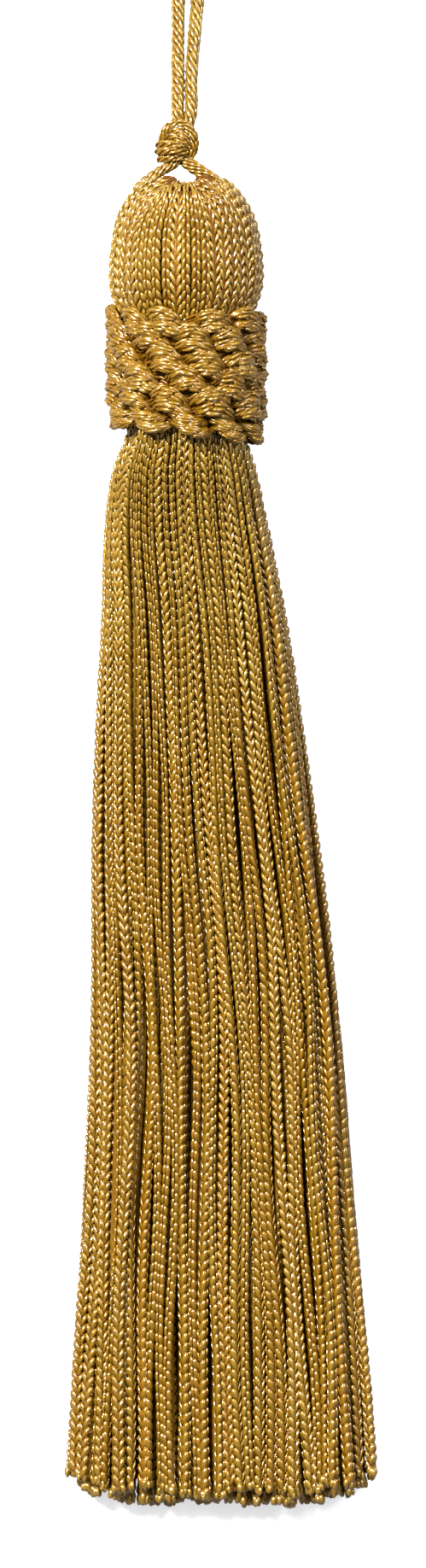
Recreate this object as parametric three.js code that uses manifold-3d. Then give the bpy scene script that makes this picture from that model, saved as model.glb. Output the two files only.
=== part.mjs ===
// A gold chainette tassel that lies on a table, with its hanging cord stretched out above it.
// X is to the right, Y runs along the tassel towards its cord, and Z is up from the table.
// Sizes are in millimetres. The origin is on the table, under the middle of the tassel.
import * as THREE from "three";
import { mergeVertices } from "three/addons/utils/BufferGeometryUtils.js";
import Module from "manifold-3d";

const wasm = await Module();
wasm.setup();

// Head, neck and collar share one axis along Y and are pressed a little flat by lying down
const AXIS_X = -4.35;
const AXIS_Z = 8.9;
const FLATTEN = 0.95;
const CLEARANCE = 0.42;

// Head: a bulb of folded strands, with one ridge for each strand and a dimple in the crown
const CROWN_Y = 74.4;
const CROWN_DIMPLE = 0.9;
const HEAD_STRANDS = 46;
const HEAD_ROWS = [
  { drop: 0.0, radius: 1.7, groove: 0.0 },
  { drop: 0.4, radius: 3.6, groove: 0.15 },
  { drop: 1.3, radius: 5.8, groove: 0.3 },
  { drop: 2.8, radius: 7.1, groove: 0.4 },
  { drop: 5.2, radius: 8.25, groove: 0.45 },
  { drop: 8.4, radius: 8.85, groove: 0.45 },
  { drop: 11.5, radius: 9.1, groove: 0.45 },
  { drop: 14.0, radius: 8.8, groove: 0.4 },
  { drop: 15.5, radius: 8.2, groove: 0.3 },
  { drop: 16.3, radius: 7.05, groove: 0.0 },
  { drop: 30.8, radius: 7.05, groove: 0.0 },
];

// Collar: a band under six rows of bumps, each bump a pair of cords that slants down to the right
const COLLAR_INNER_RADIUS = 7.4;
const COLLAR_BAND_RADIUS = 8.75;
const COLLAR_BAND_TOP_Y = 57.6;
const COLLAR_BAND_BOTTOM_Y = 45.2;
const COLLAR_BAND_SIDES = 24;
const HEAD_SPACE_SIDES = 32;
const COLLAR_LEAN = 0.05;
const BUMPS_PER_ROW = 10;
const BUMP_LENGTH = 6.6;
const BUMP_RADIUS = 8.85;
const BUMP_SCATTER_DEG = 5;
const BUMP_ROW_SEED = 20;
const COLLAR_ROWS = [
  { y: 57.2, turn: -10, tilt: 24 },
  { y: 54.7, turn: 8, tilt: 18 },
  { y: 52.2, turn: -13, tilt: 20 },
  { y: 49.9, turn: 2, tilt: 18 },
  { y: 47.6, turn: -12, tilt: 22 },
  { y: 45.5, turn: 5, tilt: 20 },
];
// Sections along a bump: place along it, height over the band and share of the full section
const BUMP_SECTIONS = [
  { along: -0.5, lift: -1.0, scale: 0.5 },
  { along: -0.2, lift: 0.0, scale: 1.0 },
  { along: 0.2, lift: 0.0, scale: 1.0 },
  { along: 0.5, lift: -1.0, scale: 0.5 },
];
// Outline of a pair of cords side by side, across the pair and out from the collar's axis
const PAIR_OUTLINE = [
  { across: -1.2, out: 0.0 },
  { across: -0.62, out: 0.66 },
  { across: 0.0, out: 0.36 },
  { across: 0.62, out: 0.66 },
  { across: 1.2, out: 0.0 },
  { across: 0.0, out: -0.8 },
];

// Skirt: edges, resting height and top of the bundle at distances below the strands' roots.
// flat goes from 0, a round bundle, to 1, a bundle spread flat on the table.
const ROOT_Y = 46.0;
const HEM_Y = -80.4;
const SKIRT_ROWS = [
  { drop: 0.0, left: -11.15, right: 2.45, base: 2.5, top: 15.3, flat: 0.0 },
  { drop: 2.6, left: -11.4, right: 2.7, base: 2.2, top: 15.6, flat: 0.0 },
  { drop: 4.9, left: -12.55, right: 3.5, base: 1.2, top: 15.4, flat: 0.1 },
  { drop: 11.0, left: -13.7, right: 4.9, base: 0.2, top: 13.2, flat: 0.5 },
  { drop: 23.0, left: -14.25, right: 7.35, base: 0.0, top: 10.6, flat: 0.9 },
  { drop: 35.0, left: -14.95, right: 9.25, base: 0.0, top: 9.2, flat: 1.0 },
  { drop: 47.0, left: -15.45, right: 10.95, base: 0.0, top: 8.2, flat: 1.0 },
  { drop: 71.0, left: -15.65, right: 13.95, base: 0.0, top: 7.0, flat: 1.0 },
  { drop: 95.0, left: -16.85, right: 15.95, base: 0.0, top: 6.1, flat: 1.0 },
  { drop: 119.0, left: -18.25, right: 17.95, base: 0.0, top: 5.7, flat: 1.0 },
  { drop: 130.0, left: -18.9, right: 18.75, base: 0.0, top: 5.6, flat: 1.0 },
];
const STRAND_WIDTH = 1.05;
const SIDE_WIDTH_SHARE = 0.5;
const CORE_WIDTH_SHARE = 0.52;
const STRAND_HEIGHT = 0.78;
const STRAND_GAP = 0.25;
const STRAND_CORNERS = [
  { side: -0.5, up: -0.5 },
  { side: 0.5, up: -0.5 },
  { side: 0.5, up: 0.5 },
  { side: -0.5, up: 0.5 },
];
const LAYER_PITCH = 1.3;
const RING_COUNTS = [46, 36];
const CORE_COUNT = 14;
const STRAND_STATIONS = [0, 2.6, 5.0, 14, 40, 80];
const WANDER_SHARE = 0.16;
const END_SCATTER = 2.0;
const HEM_CORNER_RISE = 3.0;
const HEM_CORNER_POWER = 4;
const LAYER_SEED = 100;
const END_SEED = 0.5;
const OUTLINE_STEPS = 480;
const ROUND_POWER = 2.0;
const FLAT_TOP_POWER = 2.3;
const FLAT_BOTTOM_POWER = 4.0;
const FLAT_MIDDLE = 0.45;
const LEVEL_BAND = 0.3;

// Hanging cord: three plies twisted together, laid as a long loop from the knot and back to it
const CORD_PEAK_RADIUS = 0.68;
const CORD_VALLEY_RADIUS = 0.54;
const CORD_PLIES = 3;
const CORD_LAY = 5.6;
const CORD_STEPS_PER_LAY = 6;
const CORD_REST_Z = 0.72;
const CORD_ROUTE = [
  { x: -5.3, y: 81.5, z: 7.4 },
  { x: -5.3, y: 86, z: 6.2 },
  { x: -5.3, y: 91, z: 4.6 },
  { x: -5.28, y: 96, z: 2.9 },
  { x: -5.35, y: 101, z: 1.6 },
  { x: -5.5, y: 106, z: 0.9 },
  { x: -5.8, y: 111, z: CORD_REST_Z },
  { x: -6.2, y: 116, z: CORD_REST_Z },
  { x: -6.6, y: 121, z: CORD_REST_Z },
  { x: -6.85, y: 126, z: CORD_REST_Z },
  { x: -6.7, y: 130, z: CORD_REST_Z },
  { x: -5.7, y: 133, z: CORD_REST_Z },
  { x: -3.9, y: 134.6, z: CORD_REST_Z },
  { x: -2.0, y: 134.6, z: CORD_REST_Z },
  { x: -0.2, y: 133, z: CORD_REST_Z },
  { x: 0.8, y: 130, z: CORD_REST_Z },
  { x: 0.75, y: 126, z: CORD_REST_Z },
  { x: 0.3, y: 121, z: CORD_REST_Z },
  { x: -0.4, y: 116, z: CORD_REST_Z },
  { x: -1.1, y: 111, z: CORD_REST_Z },
  { x: -1.75, y: 106, z: 0.9 },
  { x: -2.4, y: 101, z: 1.6 },
  { x: -2.95, y: 96, z: 2.9 },
  { x: -3.4, y: 91, z: 4.6 },
  { x: -3.75, y: 86, z: 6.2 },
  { x: -3.85, y: 81.5, z: 7.4 },
];

// Knot: an overhand knot of the doubled cord, wound from fat tubes around its middle, and its two legs
const KNOT = { x: -5.45, y: 78.4, z: 7.4 };
const KNOT_CORE = { x: 1.9, y: 2.5, z: 1.6 };
const KNOT_CORE_COLUMNS = 10;
const KNOT_CORE_ROWS = 6;
const KNOT_TUBE_SIDES = 8;
const KNOT_TUBE_STEPS = 7;
const KNOT_TURNS = [
  {
    name: "band over the top and down the right",
    radius: 0.95,
    route: [[-1.7, -0.1, 0.5], [-1.3, 1.5, 1.0], [0.5, 2.1, 1.1], [1.8, 1.0, 0.9], [1.8, -1, 0.6], [1, -2, 0.1]],
  },
  {
    name: "fat turn at the lower left",
    radius: 1.2,
    route: [[-1.1, -0.7, -1.1], [-1.6, -0.9, 0.4], [-0.4, -1.1, 1.2], [0.9, -1.6, 0.8], [1.2, -1.5, -0.8]],
  },
  {
    name: "left leg",
    radius: 0.72,
    route: [[0.2, -1.7, 0.2], [-0.6, -2.5, 0.5], [-1.9, -3.2, 0.9], [-3.0, -4.3, 1.0]],
  },
  {
    name: "right leg",
    radius: 0.72,
    route: [[0.4, -1.7, 0.2], [1.7, -2.5, 0.5], [3.2, -3.1, 0.9], [4.5, -4.3, 1.0]],
  },
];

const GOLD = { color: "#b98a2e", roughness: 0.45, metalness: 0.0 };
const PALE_GOLD = { color: "#c49a44", roughness: 0.45, metalness: 0.0 };

// Number from 0 to 1 that looks random and is the same each time
function scatter(seed) {
  const wave = Math.sin(seed * 12.9898) * 43758.5453;
  return wave - Math.floor(wave);
}

// Closed body through rings of equal size, with a fan of triangles over each end
function loft(rings, startCentre = ringCentre(rings[0]), endCentre = ringCentre(rings.at(-1))) {
  const size = rings[0].length;
  const points = [...rings.flat(), startCentre, endCentre];
  const first = points.length - 2;
  const last = points.length - 1;
  const lastRing = (rings.length - 1) * size;
  const triangles = [];
  for (let column = 0; column < size; column += 1) {
    const next = (column + 1) % size;
    for (let row = 0; row + 1 < rings.length; row += 1) {
      const here = row * size + column;
      const beside = row * size + next;
      triangles.push(here, beside, here + size, beside, beside + size, here + size);
    }
    triangles.push(first, next, column);
    triangles.push(last, lastRing + column, lastRing + next);
  }
  if (signedVolume(points, triangles) < 0) triangles.reverse();
  const geometry = new THREE.BufferGeometry().setFromPoints(points);
  geometry.setIndex(triangles);
  return geometry;
}

function ringCentre(ring) {
  const sum = ring.reduce((total, point) => total.add(point), new THREE.Vector3());
  return sum.divideScalar(ring.length);
}

function signedVolume(points, triangles) {
  let volume = 0;
  for (let i = 0; i < triangles.length; i += 3) {
    const [a, b, c] = triangles.slice(i, i + 3).map((index) => points[index]);
    volume += a.dot(new THREE.Vector3().crossVectors(b, c)) / 6;
  }
  return volume;
}

function solidOf(geometry) {
  const bare = geometry.clone();
  bare.deleteAttribute("normal");
  bare.deleteAttribute("uv");
  const merged = mergeVertices(bare);
  return new wasm.Manifold(new wasm.Mesh({
    numProp: 3,
    vertProperties: new Float32Array(merged.attributes.position.array),
    triVerts: new Uint32Array(merged.index.array),
  }));
}

function geometryOf(solid) {
  const mesh = solid.getMesh();
  const geometry = new THREE.BufferGeometry();
  geometry.setAttribute("position", new THREE.BufferAttribute(mesh.vertProperties, 3));
  geometry.setIndex(new THREE.BufferAttribute(mesh.triVerts, 1));
  geometry.computeVertexNormals();
  return geometry;
}

function join(geometries) {
  return geometries.map(solidOf).reduce((whole, piece) => whole.add(piece));
}

// Point around the axis of head and collar. Angle 0 is up, and a positive angle turns to the right.
function aroundAxis(angle, radius, y) {
  const x = AXIS_X + radius * Math.sin(angle);
  const z = AXIS_Z + FLATTEN * radius * Math.cos(angle);
  return new THREE.Vector3(x, y, Math.max(z, 0));
}

// Head with its neck, a ridge and a groove for each folded strand
function headGeometry() {
  const points = HEAD_STRANDS * 2;
  const rings = HEAD_ROWS.map(({ drop, radius, groove }) =>
    Array.from({ length: points }, (_, index) => {
      const angle = (index / points) * 2 * Math.PI;
      return aroundAxis(angle, radius - (index % 2) * groove, CROWN_Y - drop);
    }),
  );
  const dimple = new THREE.Vector3(AXIS_X, CROWN_Y - CROWN_DIMPLE, AXIS_Z);
  return loft(rings, dimple);
}

const SKIRT_COLUMNS = ["left", "right", "base", "top", "flat"];
const skirtCurve = new THREE.CubicInterpolant(
  SKIRT_ROWS.map((row) => row.drop),
  SKIRT_ROWS.flatMap((row) => SKIRT_COLUMNS.map((column) => row[column])),
  SKIRT_COLUMNS.length,
);

// Smooth cross-section of the skirt at a distance below the strands' roots
function skirtAt(drop) {
  const [left, right, base, top, flat] = skirtCurve.evaluate(drop);
  return { left, right, base, top, flat };
}

// Signed power of a sine or cosine, which squares off a round outline
function squared(value, power) {
  return Math.sign(value) * Math.abs(value) ** (2 / power);
}

// Outline of one layer of strands across the skirt, from the middle of its underside and round again
function layerOutline({ left, right, base, top, flat }, inset) {
  const centre = (left + right) / 2;
  const halfWidth = (right - left) / 2 - inset;
  const middle = base + (top - base) * THREE.MathUtils.lerp(0.5, FLAT_MIDDLE, flat);
  const points = [];
  for (let step = 0; step <= OUTLINE_STEPS; step += 1) {
    const angle = (step / OUTLINE_STEPS) * 2 * Math.PI - Math.PI / 2;
    const upper = Math.sin(angle) > 0;
    const power = THREE.MathUtils.lerp(ROUND_POWER, upper ? FLAT_TOP_POWER : FLAT_BOTTOM_POWER, flat);
    const height = (upper ? top - middle : middle - base) - inset;
    const x = centre + halfWidth * squared(Math.cos(angle), power);
    points.push(new THREE.Vector2(x, middle + height * squared(Math.sin(angle), power)));
  }
  const lengths = [0];
  for (let step = 1; step <= OUTLINE_STEPS; step += 1) {
    lengths.push(lengths[step - 1] + points[step].distanceTo(points[step - 1]));
  }
  return { points, lengths, total: lengths[OUTLINE_STEPS], floor: base + inset };
}

// Place and sideways direction at a share of an outline's length. Underside strands lie level.
function placeOn(outline, share) {
  const target = (share - Math.floor(share)) * outline.total;
  const step = Math.max(1, outline.lengths.findIndex((length) => length >= target));
  const [before, after] = [outline.points[step - 1], outline.points[step]];
  const span = outline.lengths[step] - outline.lengths[step - 1];
  const place = before.clone().lerp(after, (target - outline.lengths[step - 1]) / span);
  const across = after.clone().sub(before).normalize();
  if (place.y < outline.floor + LEVEL_BAND) {
    place.y = outline.floor;
    across.set(1, 0);
  }
  return { place, across };
}

// Where a strand of a ring runs through the skirt at a distance below the roots
function ringPlace(ring, index, drop) {
  const inset = STRAND_HEIGHT / 2 + ring * LAYER_PITCH;
  const outline = layerOutline(skirtAt(drop), inset);
  const count = RING_COUNTS[ring];
  const loose = Math.min(1, drop / STRAND_STATIONS.at(-1));
  const wander = (scatter(index + ring * LAYER_SEED) - 0.5) * WANDER_SHARE * loose;
  const found = placeOn(outline, (index + ring / 2 + wander) / count);
  return { ...found, spacing: outline.total / count };
}

// Where a strand of the flat row in the middle of the skirt runs
function corePlace(index, drop) {
  const { left, right, base, top } = skirtAt(drop);
  const halfWidth = (CORE_WIDTH_SHARE * (right - left)) / 2;
  const spacing = (2 * halfWidth) / (CORE_COUNT - 1);
  const x = (left + right) / 2 - halfWidth + index * spacing;
  const place = new THREE.Vector2(x, (base + top) / 2);
  return { place, across: new THREE.Vector2(1, 0), spacing };
}

// One strand with four sides, cut at its own length near the hem
function strandGeometry(placeAt, seed) {
  const last = placeAt(ROOT_Y - HEM_Y).place.x;
  const { left, right } = skirtAt(ROOT_Y - HEM_Y);
  const aside = (2 * last - left - right) / (right - left);
  const rise = HEM_CORNER_RISE * aside ** HEM_CORNER_POWER + (scatter(seed + END_SEED) - 0.5) * END_SCATTER;
  const stations = [...STRAND_STATIONS, ROOT_Y - HEM_Y - rise];
  const rings = stations.map((drop) => {
    const { place, across, spacing } = placeAt(drop);
    const upright = THREE.MathUtils.lerp(SIDE_WIDTH_SHARE, 1, Math.abs(across.x));
    const width = Math.min(STRAND_WIDTH, spacing - STRAND_GAP) * upright;
    const out = new THREE.Vector2(-across.y, across.x);
    return STRAND_CORNERS.map(({ side, up }) => {
      const corner = place.clone().addScaledVector(across, side * width);
      corner.addScaledVector(out, up * STRAND_HEIGHT);
      return new THREE.Vector3(corner.x, ROOT_Y - drop, corner.y);
    });
  });
  return loft(rings);
}

function skirtGeometries() {
  const strands = [];
  RING_COUNTS.forEach((count, ring) => {
    for (let index = 0; index < count; index += 1) {
      strands.push(strandGeometry((drop) => ringPlace(ring, index, drop), index + ring * LAYER_SEED));
    }
  });
  for (let index = 0; index < CORE_COUNT; index += 1) {
    strands.push(strandGeometry((drop) => corePlace(index, drop), index + RING_COUNTS.length * LAYER_SEED));
  }
  return strands;
}

// One bump of the collar: a pair of cords that arches out of the band and dives back into it
function bumpGeometry(middleAngle, middleY, tilt) {
  const slope = Math.tan(tilt);
  const rings = BUMP_SECTIONS.map(({ along, lift, scale }) => {
    const run = along * BUMP_LENGTH;
    return PAIR_OUTLINE.map(({ across, out }) => {
      const side = run * Math.cos(tilt) + across * scale * Math.sin(tilt);
      const y = middleY - run * Math.cos(tilt) * slope + across * scale * Math.cos(tilt);
      return aroundAxis(middleAngle + side / BUMP_RADIUS, BUMP_RADIUS + lift + out * scale, y);
    });
  });
  return loft(rings);
}

function collarBand() {
  const corners = [
    new THREE.Vector2(COLLAR_INNER_RADIUS, COLLAR_BAND_BOTTOM_Y),
    new THREE.Vector2(COLLAR_BAND_RADIUS, COLLAR_BAND_BOTTOM_Y),
    new THREE.Vector2(COLLAR_BAND_RADIUS, COLLAR_BAND_TOP_Y),
    new THREE.Vector2(COLLAR_INNER_RADIUS, COLLAR_BAND_TOP_Y),
    new THREE.Vector2(COLLAR_INNER_RADIUS, COLLAR_BAND_BOTTOM_Y),
  ];
  const band = new THREE.LatheGeometry(corners, COLLAR_BAND_SIDES);
  return band.scale(1, 1, FLATTEN).translate(AXIS_X, 0, AXIS_Z);
}

// Space that the head and the neck need inside the collar and under the knot's legs
function headSpace() {
  const surface = HEAD_ROWS.map(({ drop, radius }) => new THREE.Vector2(radius, CROWN_Y - drop));
  const profile = surface.map((point, row) => {
    const before = surface[row - 1] ?? new THREE.Vector2(0, CROWN_Y);
    const along = (surface[row + 1] ?? point).clone().sub(before).normalize();
    return new THREE.Vector2(-along.y, along.x).multiplyScalar(CLEARANCE).add(point);
  });
  profile.unshift(new THREE.Vector2(0, CROWN_Y + CLEARANCE));
  profile.push(new THREE.Vector2(COLLAR_INNER_RADIUS, HEM_Y), new THREE.Vector2(0, HEM_Y));
  const space = new THREE.LatheGeometry(profile.reverse(), HEAD_SPACE_SIDES);
  return solidOf(space.scale(1, 1, FLATTEN).translate(AXIS_X, 0, AXIS_Z));
}

function collarGeometry() {
  const bumps = [];
  COLLAR_ROWS.forEach(({ y, turn, tilt }, row) => {
    for (let index = 0; index < BUMPS_PER_ROW; index += 1) {
      const shift = (scatter(index + row * BUMP_ROW_SEED) - 0.5) * BUMP_SCATTER_DEG;
      const angle = THREE.MathUtils.degToRad(turn + shift + (index * 360) / BUMPS_PER_ROW);
      const lean = COLLAR_LEAN * BUMP_RADIUS * Math.sin(angle);
      bumps.push(bumpGeometry(angle, y - lean, THREE.MathUtils.degToRad(tilt + shift)));
    }
  });
  return geometryOf(join([collarBand(), ...bumps]).subtract(headSpace()));
}

// Tube with square-cut ends along a smooth curve through a route of points
function tubeGeometry(route, radius, sides, steps) {
  const outline = new THREE.Shape();
  for (let side = 0; side < sides; side += 1) {
    const angle = (side / sides) * 2 * Math.PI;
    const corner = new THREE.Vector2(radius * Math.cos(angle), radius * Math.sin(angle));
    if (side === 0) outline.moveTo(corner.x, corner.y);
    else outline.lineTo(corner.x, corner.y);
  }
  const extrudePath = new THREE.CatmullRomCurve3(route);
  return new THREE.ExtrudeGeometry(outline, { steps, bevelEnabled: false, extrudePath });
}

function knotGeometry() {
  const core = new THREE.SphereGeometry(1, KNOT_CORE_COLUMNS, KNOT_CORE_ROWS);
  core.scale(KNOT_CORE.x, KNOT_CORE.y, KNOT_CORE.z);
  const turns = KNOT_TURNS.map(({ radius, route }) => {
    const points = route.map((point) => new THREE.Vector3(...point));
    return tubeGeometry(points, radius, KNOT_TUBE_SIDES, KNOT_TUBE_STEPS);
  });
  const parts = [core, ...turns].map((part) => part.translate(KNOT.x, KNOT.y, KNOT.z));
  return geometryOf(join(parts).subtract(headSpace()));
}

// Twisted cord: a section with a peak for each ply, which turns as it follows the route
function cordGeometry() {
  const curve = new THREE.CatmullRomCurve3(CORD_ROUTE.map(({ x, y, z }) => new THREE.Vector3(x, y, z)));
  const steps = Math.round((curve.getLength() / CORD_LAY) * CORD_STEPS_PER_LAY);
  const frames = curve.computeFrenetFrames(steps);
  const points = CORD_PLIES * 2;
  const rings = [];
  for (let step = 0; step <= steps; step += 1) {
    const centre = curve.getPointAt(step / steps);
    const twist = (step / CORD_STEPS_PER_LAY) * 2 * Math.PI;
    rings.push(Array.from({ length: points }, (_, index) => {
      const angle = (index / points) * 2 * Math.PI + twist;
      const radius = index % 2 ? CORD_VALLEY_RADIUS : CORD_PEAK_RADIUS;
      return centre.clone()
        .addScaledVector(frames.normals[step], radius * Math.cos(angle))
        .addScaledVector(frames.binormals[step], radius * Math.sin(angle));
    }));
  }
  return loft(rings);
}

function piece(name, geometry, finish) {
  const mesh = new THREE.Mesh(geometry, new THREE.MeshStandardMaterial(finish));
  mesh.name = name;
  return mesh;
}

const tassel = new THREE.Group();
tassel.add(piece("head_and_skirt", geometryOf(join([headGeometry(), ...skirtGeometries()])), GOLD));
tassel.add(piece("collar", collarGeometry(), PALE_GOLD));
tassel.add(piece("knot", knotGeometry(), GOLD));
tassel.add(piece("hanging_cord", cordGeometry(), GOLD));

export default tassel;
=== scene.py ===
"""Looks of a gold chainette tassel that lies face up, with its hanging loop stretched out above it.

Units are metres. +Z is up from the table, and +Y runs from the hem of the skirt to the hanging loop.
Every strand of the skirt and the head is knitted from stitch legs around a plain thread. The collar, the
knot and the hanging cord are twisted from fine yarns.
"""

import logging
import math
from dataclasses import dataclass, field, replace
from enum import Enum
from typing import Any

import bpy
import numpy as np
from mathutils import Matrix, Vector


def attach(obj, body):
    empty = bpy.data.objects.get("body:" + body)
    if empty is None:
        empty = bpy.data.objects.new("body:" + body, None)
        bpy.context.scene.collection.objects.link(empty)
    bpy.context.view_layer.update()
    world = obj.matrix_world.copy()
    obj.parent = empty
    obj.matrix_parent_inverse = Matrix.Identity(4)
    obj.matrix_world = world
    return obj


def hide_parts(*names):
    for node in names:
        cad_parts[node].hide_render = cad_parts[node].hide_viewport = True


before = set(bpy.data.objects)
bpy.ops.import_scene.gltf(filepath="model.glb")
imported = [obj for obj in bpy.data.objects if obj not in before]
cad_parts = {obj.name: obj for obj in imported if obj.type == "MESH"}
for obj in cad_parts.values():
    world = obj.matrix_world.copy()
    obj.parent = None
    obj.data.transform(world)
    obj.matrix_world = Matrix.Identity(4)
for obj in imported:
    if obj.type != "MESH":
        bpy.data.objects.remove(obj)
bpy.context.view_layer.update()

LOG = logging.getLogger("chain_tassel")
Array = np.ndarray
Colour = tuple[float, float, float, float]
Point = tuple[float, float, float]

MM = 0.001
TURN = 2.0 * math.pi
BODY = "root"

# The tassel's own axis runs along Y, and its round parts are pressed a little flat by the table.
AXIS_X = -4.35 * MM
AXIS_Z = 8.9 * MM
FLATTEN = 0.95
# Share of a turn that never falls into step
GOLDEN = 0.618
# Numbers that scatter a seed
HASH_SCALE = 0.1031
HASH_SHIFT = 33.33
# How fast the filaments of a yarn change along it
ALONG_SCALE = 0.12
# Least length and radius to divide by
TINY = 1e-12
THIN = 1e-9


class Slot(Enum):
    """Material slots that the pieces take their finish from."""

    CHAINETTE = "chainette"
    COLLAR_CORD = "collar_cord"
    LOOP_CORD = "loop_cord"


class Node(Enum):
    """Solids that the pieces stand for."""

    HEAD_AND_SKIRT = "head_and_skirt"
    COLLAR = "collar"
    KNOT = "knot"
    HANGING_CORD = "hanging_cord"

    @property
    def slot(self) -> Slot:
        """The material slot of the solid's pieces."""
        own = {Node.HEAD_AND_SKIRT: Slot.CHAINETTE, Node.COLLAR: Slot.COLLAR_CORD}
        return own.get(self, Slot.LOOP_CORD)


class Trait(Enum):
    """Uneven traits of strands and cords, each an offset that gives the trait a seed of its own."""

    SKIRT_LEAN = 0.0
    SKIRT_ROLL = 0.13
    SKIRT_PHASE = 0.2
    SKIRT_STAGGER = 0.29
    SKIRT_TINT = 0.31
    SKEW = 0.47
    SKIRT_LENGTH = 0.5
    SKIRT_TWIST = 0.57
    SKIRT_STRAY = 0.61
    SKIRT_WAVES = 0.7
    SKIRT_FIRST = 0.77
    SKIRT_DEPTH = 0.9
    HEAD_TWIST = 0.37
    HEAD_TINT = 0.43
    HEAD_FIRST = 0.67
    HEAD_ROLL = 0.91
    HEAD_ANGLE = 300.0
    CORD_TWIST = 0.4
    CORD_ROLL = 0.6
    CORD_TINT = 0.8


# Numbers and curves


def scatter(seed: Array | float) -> Array:
    """A fixed scattered share from 0 to 1.

    Args:
        seed: One seed or many.

    Returns:
        One share for every seed.
    """
    share = np.asarray(seed, float) * HASH_SCALE
    share = share - np.floor(share)
    share = share * (share + HASH_SHIFT)
    share = 2.0 * share * share
    return share - np.floor(share)


def trait(seed: Array | float, which: Trait) -> Array:
    """The scattered share from 0 to 1 that a trait has for every seed."""
    return scatter(seed + which.value)


def quarter_turn(share: Array, spread: float) -> float:
    """A whole number of quarter turns, give or take a little.

    Args:
        share: A scattered share from 0 to 1, which picks the turn.
        spread: The little more or less, as a share of a quarter turn.

    Returns:
        The angle.
    """
    quarters = 4.0 * float(share)
    whole = math.floor(quarters)
    return TURN / 4.0 * (whole + spread * (quarters - whole - 0.5))


def unit(vectors: Array) -> Array:
    """The vectors at a length of one."""
    return vectors / np.maximum(np.linalg.norm(vectors, axis=-1, keepdims=True), TINY)


def eased(share: Array) -> Array:
    """A smooth step from 0 to 1 over shares from 0 to 1."""
    held = np.clip(share, 0.0, 1.0)
    return held * held * (3.0 - 2.0 * held)


def between(rows: Array, at: Array) -> Array:
    """Smooth values between the rows of a table.

    Args:
        rows: A table whose first column rises.
        at: Values of the first column to look up.

    Returns:
        One row of the other columns for each value.
    """
    knots = rows[:, 0]
    values = rows[:, 1:]
    slopes = np.gradient(values, knots, axis=0)
    held = np.clip(at, knots[0], knots[-1])
    low = np.clip(np.searchsorted(knots, held, side="right") - 1, 0, len(knots) - 2)
    span = (knots[low + 1] - knots[low])[:, None]
    t = (held - knots[low])[:, None] / span
    rise = t * t * (3.0 - 2.0 * t)
    leave = t * (1.0 - t) ** 2 * span
    arrive = t * t * (t - 1.0) * span
    blend = values[low] * (1.0 - rise) + values[low + 1] * rise
    return blend + slopes[low] * leave + slopes[low + 1] * arrive


def run_along(points: Array) -> Array:
    """How far each point lies along the line through all of them."""
    return np.concatenate([[0.0], np.cumsum(np.linalg.norm(np.diff(points, axis=0), axis=1))])


def smooth_route(points: Array, step: float) -> Array:
    """Points at an even step on the smooth curve through a few chosen ones.

    Args:
        points: The chosen points.
        step: Distance between neighbours on the curve.

    Returns:
        The points of the curve, one row each.
    """
    run = run_along(points)
    count = max(3, round(run[-1] / step) + 1)
    return between(np.column_stack([run, points]), np.linspace(0.0, run[-1], count))


def outward_along(route: Array) -> Array:
    """A direction across a route, carried along it without twist.

    Args:
        route: Points of the route.

    Returns:
        The direction at each point.
    """
    ahead = unit(np.gradient(route, axis=0))
    sides = np.empty_like(route)
    carried = np.array([1.0, 0.0, 0.0])
    for index, way in enumerate(ahead):
        carried = carried - way * (carried @ way)
        carried = carried / np.linalg.norm(carried)
        sides[index] = carried
    return np.cross(sides, ahead)


def around_axis(angle: Array, radius: Array, y: Array) -> Array:
    """Points around the tassel's axis: angle 0 is straight up, and it grows to the right."""
    x, y, z = np.broadcast_arrays(radius * np.sin(angle), y, FLATTEN * radius * np.cos(angle))
    return np.stack([AXIS_X + x, y, AXIS_Z + z], axis=-1)


# Nodes


class Value:
    """A shader socket that takes part in arithmetic: each operation adds a Math node."""

    def __init__(self, graph: "Graph", socket: bpy.types.NodeSocket) -> None:
        """Wrap a socket of a graph."""
        self.graph = graph
        self.socket = socket

    def joined(self, operation: str, first: "Value | float", second: "Value | float") -> "Value":
        """The result of one Math node."""
        node = self.graph.node("ShaderNodeMath", {0: first, 1: second}, operation=operation)
        return Value(self.graph, node.outputs[0])

    def __add__(self, other: "Value | float") -> "Value":
        """Sum."""
        return self.joined("ADD", self, other)

    def __radd__(self, other: float) -> "Value":
        """Sum with a plain number first."""
        return self.joined("ADD", other, self)

    def __sub__(self, other: "Value | float") -> "Value":
        """Difference."""
        return self.joined("SUBTRACT", self, other)

    def __rsub__(self, other: float) -> "Value":
        """Difference from a plain number."""
        return self.joined("SUBTRACT", other, self)

    def __mul__(self, other: "Value | float") -> "Value":
        """Product."""
        return self.joined("MULTIPLY", self, other)

    def __rmul__(self, other: float) -> "Value":
        """Product with a plain number first."""
        return self.joined("MULTIPLY", other, self)

    def held(self) -> "Value":
        """The value held between 0 and 1."""
        return Value(self.graph, self.graph.node("ShaderNodeClamp", {"Value": self}).outputs[0])


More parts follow.
